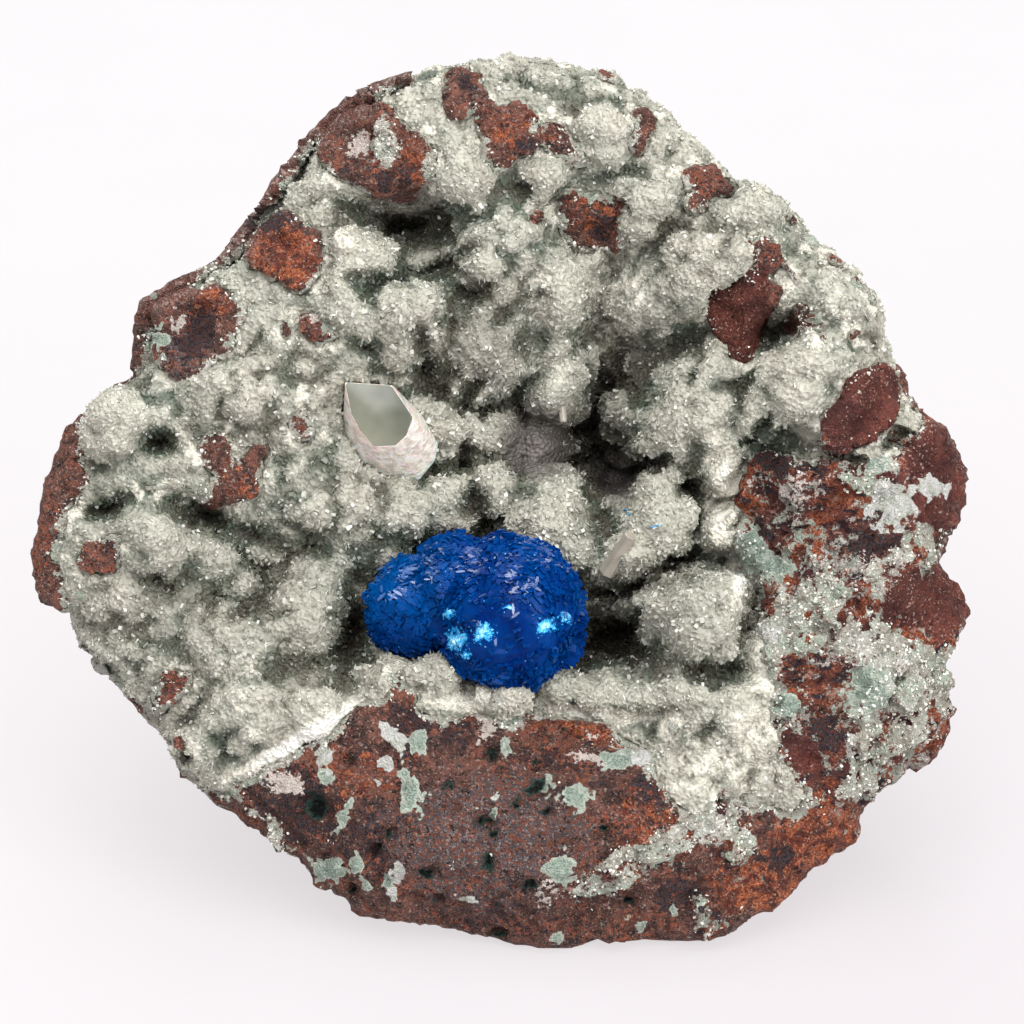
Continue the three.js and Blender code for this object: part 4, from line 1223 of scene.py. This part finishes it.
# height carries the painted crest light onto the crystals on top of the knobs
vein_numbers = {"rim": level + VEIN_WHITE, "depth_shade": level, "height": 0.5 + 0.5 * knobs}
vein_ground = (rock.data, 1 - overgrown, vein_numbers)
print("share of the rock that crystals grow on:", round(float(overgrown.mean()), 3))

# %% Grow the crystals
BLOCK_TOP = (0.8, 0.8)  # the size of a block's top as shares of its foot
# name, ground, shape, count, seed, widths in mm, lengths in widths, lean, sunk share
druse_pieces = [
    druse_piece(
        "druse_needles", crust_ground, druse_grain(), 24500, 11, (0.09, 0.16), (3, 5.5), 1.8, 0.5
    ),
    druse_piece(
        "druse_blocks", crust_ground, blade_shape(*BLOCK_TOP), 16000, 12, (0.16, 0.34), (0.9, 1.8)
    ),
    druse_piece(
        "vein_blocks", vein_ground, blade_shape(*BLOCK_TOP), 6500, 14, (0.15, 0.38), (0.7, 1.3), 1.1
    ),
    druse_piece(
        "vein_needles", vein_ground, druse_grain(), 8000, 15, (0.1, 0.18), (2.5, 5), 1.8, 0.5
    ),
]

# %% [markdown]
# ### The finish of the crystals
#
# A real druse crystal is clear with milky flaws. Full transmission over so many small crystals renders
# slowly and goes black in the creases, so they are mostly the crust's own colour with a quarter of
# transmission. Each copy's tone makes some of them dim, and a few on the crests get a painted glint, a
# near-white colour in place of a highlight.

# %% The druse crystal material
druse, tree, shader, place = new_material(
    "druse_crystal", Roughness=0.1, IOR=1.52, Transmission_Weight=0.25
)
# the last of the four colours is the painted shade of creases and depths
colour = druse_coloured(
    tree, place, srgb(98, 111, 95), srgb(114, 113, 99), srgb(236, 233, 219), srgb(88, 81, 69)
)
# painted glint: a few crystals on the crests turn near white, as a highlight
painted_glint = sharpened(tree, kept_number(tree, "tone"), 0.87, 1.0)
dim = times(tree, sharpened(tree, kept_number(tree, "tone"), 0.4, 0.0), 0.4)
colour = mixed(tree, dim, colour, srgb(84, 78, 66))
painted_glint = times(tree, painted_glint, sharpened(tree, kept_number(tree, "height"), 0.1, 0.6))
tree.links.new(mixed(tree, painted_glint, colour, srgb(238, 237, 228)), shader.inputs["Base Color"])
for piece in druse_pieces:
    piece.data.materials.append(druse)

# %% [markdown]
# ## The cavansite ball
#
# A cavansite ball is a rosette: flat blades that spread from one point, so their chisel tips make
# a scaly surface with a saw-toothed edge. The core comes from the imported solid, and the blades are
# copies of one lath. Their direction changes from block to block of a cell noise, which bundles
# neighbours into sheaves.

# %% The rosette's core
BALL_SKIN = 0.3 * MM
BLOCK_SIZE = 1.7 * MM  # of the blocks that share a direction

ball = copy_of_solid("cavansite_ball", "cavansite_rosette")
even_skin(ball, BALL_SKIN)
soften(ball.data, 6)
points = vertices_of(ball.data)
push_out(ball.data, (0.24 * cells(points, BLOCK_SIZE, 8)[:, 0] - 0.1) * MM)
print("cavansite_rosette:", triangles_in(ball.data), "triangles")

# %% [markdown]
# ### The blades
#
# Each of the three lobes has its own middle, and a blade points away from the nearest one, leaning
# with its block. Most blades end level, and one in five stands out as a tooth, except on the front.

# %% Grow the blades
# The three lobes: the middle of each in mm in the face's frame, and its radius.
LOBES = np.array([(-0.2, -7.1, -1.5), (-3.9, -5.2, -1.9), (-7.1, -6.7, -2.2)])
LOBE_MIDDLES = standing(LOBES * MM / SQUARE)
LOBE_SIZES = np.array([5.0, 3.4, 3.0]) * MM
BLADE_COUNT = 8400
BLADE_LENGTH = 1.8 * MM
TOOTH_SHARE = 0.2

draw = np.random.default_rng(23)


def open_side(normals, corners):
    """Fewer blades on the lower front of the large lobe, where the rosette is smooth."""
    places = on_face(vertices_of(ball.data)[corners[:, 0]])
    low = smooth_step(-6, -10, places[:, 1]) * smooth_step(-11, -6, places[:, 0])
    return 1 - 0.93 * smooth_step(0.3, 0.7, normals @ TURN[:, 2]) * low


tips, normals, _ = strewn(ball.data, BLADE_COUNT, draw, open_side)
# How far out each tip lies in each lobe, in the lobe's own radii: the least one is its lobe.
reach = np.linalg.norm(tips[:, None] - LOBE_MIDDLES[None], axis=2) / LOBE_SIZES
sheaf = cells(tips, BLOCK_SIZE, 8)
outward = unit(tips - LOBE_MIDDLES[reach.argmin(1)])
leans = unit(outward + 0.22 * sheaf + 0.05 * draw.normal(size=tips.shape))
turns = turns_along(leans, sheaf[:, [1, 2, 0]] + 0.15 * draw.normal(size=tips.shape))
tooth = np.where(draw.random(BLADE_COUNT) < TOOTH_SHARE, draw.uniform(0.1, 0.35, BLADE_COUNT), 0)
tooth *= smooth_step(0.8, 0.3, normals @ TURN[:, 2])
# How far each tip stands out of the core.
rise = (0.2 + 0.05 * sheaf[:, 1] + draw.uniform(-0.02, 0.02, BLADE_COUNT) + tooth) * MM
widths = draw.uniform(0.25, 0.75, BLADE_COUNT) * MM
thick = widths * draw.uniform(0.3, 0.6, BLADE_COUNT)
sizes = np.stack([widths, thick, np.full(BLADE_COUNT, BLADE_LENGTH)], axis=1)
seats = tips - leans * (BLADE_LENGTH - rise)[:, None]
numbers = {"tone": draw.random(BLADE_COUNT), "glossy": np.zeros(BLADE_COUNT)}
blades = copies("cavansite_blades", blade_shape(0.9, 0.85, 0.06), seats, turns, sizes, numbers)

# %% [markdown]
# ### Flakes and flecks
#
# Where a rosette has been touched, thin plates split off its blades and lie flat, and they catch
# the light as pale streaks. They are six-sided plates strewn over its upper side in drifts. Four
# splinters of the same mineral stick to the druse right of the ball, in two places.

# %% Lay the flakes
FLAKE_COUNT = 900
FLAKE_THICKNESS = 0.08 * MM


def flake_shape():
    """A thin six-sided plate on its flat side."""
    shape = bmesh.new()
    bmesh.ops.create_cone(shape, cap_ends=True, segments=6, radius1=0.5, radius2=0.45, depth=1)
    bmesh.ops.triangulate(shape, faces=shape.faces)
    return shape


def band(normals, corners):
    """Only the upper side of the rosette, where its blades lie open."""
    upper = smooth_step(0.12, 0.5, normals @ TURN[:, 1]) * smooth_step(0, 0.3, normals @ TURN[:, 2])
    return upper * smooth_step(0, 0.12, grain(vertices_of(ball.data)[corners[:, 0]], 1.4 * MM, 2, 31))


seats, normals, _ = strewn(ball.data, FLAKE_COUNT, draw, band)
tilted = normals + 0.5 * TURN[:, 1] + 0.5 * TURN[:, 2] + 0.3 * draw.normal(size=seats.shape)
along = TURN[:, 0] + 0.6 * draw.normal(size=seats.shape)
wide = (0.25 + 0.85 * draw.random(FLAKE_COUNT) ** 2) * MM
narrow = wide * draw.uniform(0.18, 0.4, FLAKE_COUNT)
sizes = np.stack([wide, narrow, np.full(FLAKE_COUNT, FLAKE_THICKNESS)], axis=1)
numbers = {"tone": draw.random(FLAKE_COUNT), "glossy": draw.random(FLAKE_COUNT) ** 2.2}
seats += 0.22 * MM * normals
flakes = copies("cavansite_flakes", flake_shape(), seats, turns_along(tilted, along), sizes, numbers)

# %% Lay the flecks
FLECKS = [(11.4, 0.2), (11.8, -0.2), (14.2, -1.5), (14.7, -1.3)]  # x and y in squares
FLECK_SIZES = np.array([[0.4, 0.14, 0.1], [0.25, 0.12, 0.1], [0.6, 0.15, 0.1], [0.35, 0.12, 0.1]]) * MM

crust_face = tree_of(crust)
seats = np.array([first_met(crust_face, x, y) for x, y in FLECKS])
count = len(FLECKS)
tilted = TURN[:, 2] + 0.4 * draw.normal(size=(count, 3))
along = TURN[:, 0] + 0.4 * draw.normal(size=(count, 3))
seats += 0.2 * MM * TURN[:, 2]
numbers = {"tone": np.ones(count), "glossy": np.full(count, 0.2), "cyan": np.full(count, 0.75)}
flecks = copies("cavansite_flecks", flake_shape(), seats, turns_along(tilted, along), FLECK_SIZES, numbers)

# %% [markdown]
# ### The blue of cavansite
#
# Cavansite is a deep blue, sky blue where blades are bruised. The blue follows a slow noise, and the
# bruises are spots kept on the mesh with their rims frayed by a noise. Its silky sheen is a painted sheen:
# a lighter blue mixed in where a face is turned away from the viewer, as a blade seen on edge, and the left
# lobes get a painted lit side in the same blue. The pale tint of the glossy flakes is a painted highlight,
# and fine light blue specks are painted sparkles.

# %% Mark the bruises and the lit side
# x, y, half width and half height in squares, turn in degrees.
CYAN_SPOTS = [
    (-6.4, -10.1, 0.7, 0.6, 0), (-5.5, -12.7, 1.1, 1.3, 0), (-4.6, -14.3, 0.5, 0.5, 0),
    (-2.8, -11.9, 1.2, 0.9, 30), (3.4, -11.3, 1.1, 0.8, 35), (5.4, -10.6, 0.6, 0.6, 0),
    (-0.2, -9.4, 0.6, 0.3, 0),
]
for piece in (ball, blades, flakes):
    places = on_face(vertices_of(piece.data))
    store(piece.data, "cyan", spots(places, CYAN_SPOTS, 1) * (places[:, 2] > -2))
    # painted light: the left lobes get a lighter blue, as on a lit side
    store(piece.data, "lit", 0.6 * smooth_step(-4, -12, places[:, 0]) * smooth_step(-14, -7, places[:, 1]))

# %% The cavansite material
cavansite, tree, shader, place = new_material("cavansite_blue", Roughness=0.22)
silk = patchy(tree, place, 500.0, 0.35, 0.7, 4.0)
colour = mixed(tree, silk, srgb(0, 30, 92), srgb(0, 54, 120))
colour = mixed(tree, times(tree, kept_number(tree, "tone"), 0.15), colour, srgb(0, 86, 158))
# painted sheen: a lighter blue where a face is turned away from the viewer, together with the painted lit
# side
painted_edge_sheen = add(tree, "ShaderNodeLayerWeight", {"Blend": 0.5}).outputs["Facing"]
painted_sheen_and_lit_side = worked(tree, "MAXIMUM", kept_number(tree, "lit"), sharpened(tree, painted_edge_sheen, 0.55, 0.95))
colour = mixed(tree, times(tree, painted_sheen_and_lit_side, 0.55), colour, srgb(0, 96, 168))
# painted highlight: a pale tint on the glossy flakes, besides their real gloss
painted_flake_highlight = times(tree, kept_number(tree, "glossy"), 0.35)
colour = mixed(tree, painted_flake_highlight, colour, srgb(140, 158, 192))
frayed = times(tree, speckle(tree, place, 2400.0, 4.0, 0.75), 2.0)
cyan = worked(tree, "ADD", kept_number(tree, "cyan"), frayed)
colour = mixed(tree, sharpened(tree, cyan, 1.62, 1.72), colour, srgb(52, 160, 220))
colour = mixed(tree, sharpened(tree, cyan, 1.82, 2.02), colour, srgb(160, 220, 240))
# painted sparkles: fine light blue specks in place of glints
painted_sparkles = patchy(tree, place, 3600.0, 0.75, 0.78, 1.0, 0.4)
colour = mixed(tree, painted_sparkles, colour, srgb(90, 160, 225))
tree.links.new(colour, shader.inputs["Base Color"])
gloss = worked(tree, "MULTIPLY_ADD", kept_number(tree, "glossy"), 1.1)
tree.links.new(gloss, shader.inputs["Specular IOR Level"])
gloss.node.inputs[2].default_value = 0.05
for piece in (ball, blades, flakes, flecks):
    piece.data.materials.append(cavansite)

# %% [markdown]
# ## The clear crystal
#
# One stubby crystal sits on the edge of the hollow. Its top is a smooth cleavage face that lets
# the light in, and its sides are frosted. The solid already has its flat faces, so it only needs
# its edges rounded by a hair.

# %% Bevel the clear crystal
CRYSTAL_BEVEL = 0.09 * MM


def bevelled(shape, width, segments, clamp=False):
    """Rounds all the edges of a shape by a hair and cuts its faces into triangles."""
    bmesh.ops.bevel(
        shape,
        geom=shape.edges,
        offset=width,
        offset_type="OFFSET",
        affect="EDGES",
        segments=segments,
        profile=0.5,
        material=-1,
        clamp_overlap=clamp,
    )
    bmesh.ops.triangulate(shape, faces=shape.faces)


crystal = copy_of_solid("calcite_crystal", "clear_crystal")
shape = bmesh.new()
shape.from_mesh(crystal.data)
bmesh.ops.dissolve_limit(shape, angle_limit=math.radians(4), verts=shape.verts, edges=shape.edges)
bevelled(shape, CRYSTAL_BEVEL, 2, clamp=True)
shape.to_mesh(crystal.data)
shape.free()
places = on_face(vertices_of(crystal.data))
# painted light and view through: the clear top gets lighter towards its lower left
store(crystal.data, "painted_light_to_lower_left", smooth_step(0.6, -7, places[:, 0] + places[:, 1]))
print("clear_crystal:", triangles_in(crystal.data), "triangles")

# %% [markdown]
# ### Clear top and frosted sides
#
# Seen from the front, the top shows the grey of the hollow through milky calcite, darker towards one
# corner. That view and its light are painted: a cloudy gradient from dark at the upper right to light at
# the lower left, with only a little transmission. The sides are dull with fine growth lines on them, and
# light sinks into them, which subsurface scattering gives.

# %% The two calcite materials
glassy, tree, shader, place = new_material(
    "clear_calcite", Roughness=0.24, IOR=1.55, Transmission_Weight=0.16
)
# painted: the view through the top and its light, darker at the upper right
cloud = times(tree, patchy(tree, place, 220.0, 0.35, 0.65, 3.0), 0.4)
across = worked(tree, "ADD", times(tree, kept_number(tree, "painted_light_to_lower_left"), 0.6), cloud)
tree.links.new(mixed(tree, across, srgb(64, 68, 58), srgb(138, 138, 122)), shader.inputs["Base Color"])
frosted, tree, shader, place = new_material(
    "frosted_calcite", Roughness=0.25, IOR=1.55, Subsurface_Weight=0.5, Subsurface_Scale=0.0015
)
stretched = add(tree, "ShaderNodeMapping", {"Vector": place, "Scale": (1.0, 0.25, 1.0)}).outputs["Vector"]
GROWTH_LINES = 0.0004  # metres deep
lines = speckle(tree, stretched, 2200.0, 4.0)
colour = mixed(tree, sharpened(tree, lines, 0.4, 0.6), srgb(212, 202, 191), srgb(240, 234, 227))
tree.links.new(colour, shader.inputs["Base Color"])
bumped(tree, shader, lines, GROWTH_LINES)
for material in (glassy, frosted):
    crystal.data.materials.append(material)
for face in crystal.data.polygons:
    face.material_index = 0 if face.normal.dot(OUT_OF_FACE) > 0.9 else 1

# %% [markdown]
# ### Two small prisms
#
# Two more crystals stand out of the druse: a stubby prism right of the ball and a small wedge high
# in the hollow. Each is a six-sided cone cut short and bevelled by a hair, set where a line from
# the front meets the crust. They are milkier than the clear crystal, so they have a finish of
# their own.

# %% Set the prisms
# x and y of the foot in squares, the way it points in the face's frame, radius and length in mm.
PRISMS = [((10.0, -5.4), (0.5, 0.8, 0.5), 0.62, 3.6), ((5.1, 10.4), (0.1, -0.95, 0.25), 0.34, 1.2)]
PRISM_BEVEL = 0.06 * MM
PRISM_TAPER = 0.8  # radius of the top as a share of the foot's
STANDS_OUT = 0.3  # how far in front of the crust a prism's middle is, in lengths

shape = bmesh.new()
for (x, y), points_to, radius, length in PRISMS:
    foot = first_met(crust_face, x, y)
    axis = (face_turn @ Vector(points_to)).normalized()
    print("prism foot, squares:", on_face(foot).round(1))
    lean = axis.to_track_quat("Z", "Y").to_matrix().to_4x4()
    placed = Matrix.Translation(foot + axis * length * STANDS_OUT * MM) @ lean
    bmesh.ops.create_cone(
        shape,
        cap_ends=True,
        segments=6,
        radius1=radius * MM,
        radius2=PRISM_TAPER * radius * MM,
        depth=length * MM,
        matrix=placed,
    )
bevelled(shape, PRISM_BEVEL, 1)
prism_mesh = bpy.data.meshes.new("small_prisms")
shape.to_mesh(prism_mesh)
shape.free()
prisms = new_piece("small_prisms", prism_mesh)
milky_prism, tree, shader, place = new_material(
    "milky_prism", Roughness=0.2, IOR=1.55, Transmission_Weight=0.15
)
colour = mixed(tree, speckle(tree, place, 900.0, 4.0), srgb(118, 110, 98), srgb(186, 178, 164))
tree.links.new(colour, shader.inputs["Base Color"])
prisms.data.materials.append(milky_prism)
print("small_prisms:", triangles_in(prisms.data), "triangles")

# %% [markdown]
# ## The floor
#
# The specimen stands on a pale sheet. The sheet gives off most of its brightness itself, so that
# the shadow on it stays faint, and it is a shade darker towards the right front.

# %% Floor
FLOOR_SIDE = 6.0
PAPER_COLOURS = ((0.1, 0.095, 0.1, 1), (0.12, 0.115, 0.12, 1))  # what it reflects, fibre by fibre
GLOW_RIGHT, GLOW_LEFT = (0.64, 0.595, 0.613, 1), (0.715, 0.68, 0.692, 1)
GLOW_FAR = (0.74, 0.73, 0.735, 1)
bpy.ops.mesh.primitive_plane_add(size=FLOOR_SIDE)
floor = bpy.context.object
floor.name = "floor"
paper, tree, shader, place = new_material("pale_sheet", Roughness=0.8, Emission_Strength=1.0)
fibres = speckle(tree, place, 40.0, 4.0)
tree.links.new(mixed(tree, fibres, *PAPER_COLOURS), shader.inputs["Base Color"])
ways = add(tree, "ShaderNodeSeparateXYZ", {0: place}).outputs
close = mixed(tree, sharpened(tree, ways["X"], 0.03, -0.05), GLOW_RIGHT, GLOW_LEFT)
glow = mixed(tree, sharpened(tree, ways["Y"], -0.08, 0.12), close, GLOW_FAR)
tree.links.new(glow, shader.inputs["Emission Color"])
floor.data.materials.append(paper)

# %% [markdown]
# ## The light
#
# Crystals need large soft lamps: a small one would give each of them one hard spark. One hangs
# above and in front, one above and behind, and a weaker one low on the right fills the shadows as
# a reflector would. An even near-white world fills the rest.

# %% Light
AMBIENT = 0.45


def soft_lamp(name, at, size, power):
    """A round lamp that points at the middle of the face: place and size in metres, watts."""
    lamp = bpy.data.lights.new(name, "AREA")
    lamp.shape, lamp.size, lamp.energy = "DISK", size, power
    held = bpy.data.objects.new(name, lamp)
    bpy.context.scene.collection.objects.link(held)
    held.location = Vector(at)
    held.rotation_euler = (FACE_MIDDLE - held.location).to_track_quat("-Z", "Y").to_euler()


soft_lamp("front_softbox", (-0.03, -0.18, 0.5), 0.55, 3.75)
soft_lamp("back_softbox", (-0.06, 0.24, 0.5), 0.4, 1.6)
soft_lamp("right_reflector", (0.34, -0.26, 0.2), 0.3, 1.7)

world = bpy.data.worlds.new("studio")
bpy.context.scene.world = world
world.use_nodes = True
world.node_tree.nodes["Background"].inputs["Color"].default_value = (1, 0.985, 1, 1)
world.node_tree.nodes["Background"].inputs["Strength"].default_value = AMBIENT
bpy.context.scene.view_settings.view_transform = "Standard"

# %% [markdown]
# ## The camera
#
# It looks straight at the leaning face with a long lens from a little over a third of a metre, so
# lengths on the face keep their proportions.

# %% Camera
CAMERA_DISTANCE = 0.358
LENS, SENSOR_WIDTH = 180, 36  # mm
camera = bpy.data.objects.new("camera", bpy.data.cameras.new("camera"))
camera.data.lens = LENS
camera.data.sensor_width = SENSOR_WIDTH
camera.location = FACE_MIDDLE + face_turn @ Vector((0, 0, CAMERA_DISTANCE))
camera.rotation_euler = (math.pi / 2 - FACE_LEAN, 0, 0)
bpy.context.scene.collection.objects.link(camera)
bpy.context.scene.camera = camera

# %% [markdown]
# ## Tie the pieces to the imported model
#
# Each piece rides on the root body, and the imported solid that it stands for is hidden.

# %% Ride and hide the solids
for piece, node, finish in (
    (rock, "basalt_matrix", "basalt"),
    (crust, "zeolite_crust", "zeolite"),
    (ball, "cavansite_ball", "cavansite"),
    (crystal, "calcite_crystal", "calcite"),
):
    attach(piece, "root")
    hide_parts(node)
for finish, pieces in (
    ("basalt", [chip_piece]),
    ("cavansite", [blades, flakes, flecks]),
    ("zeolite", [*druse_pieces, prisms]),
):
    for piece in pieces:
        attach(piece, "root")
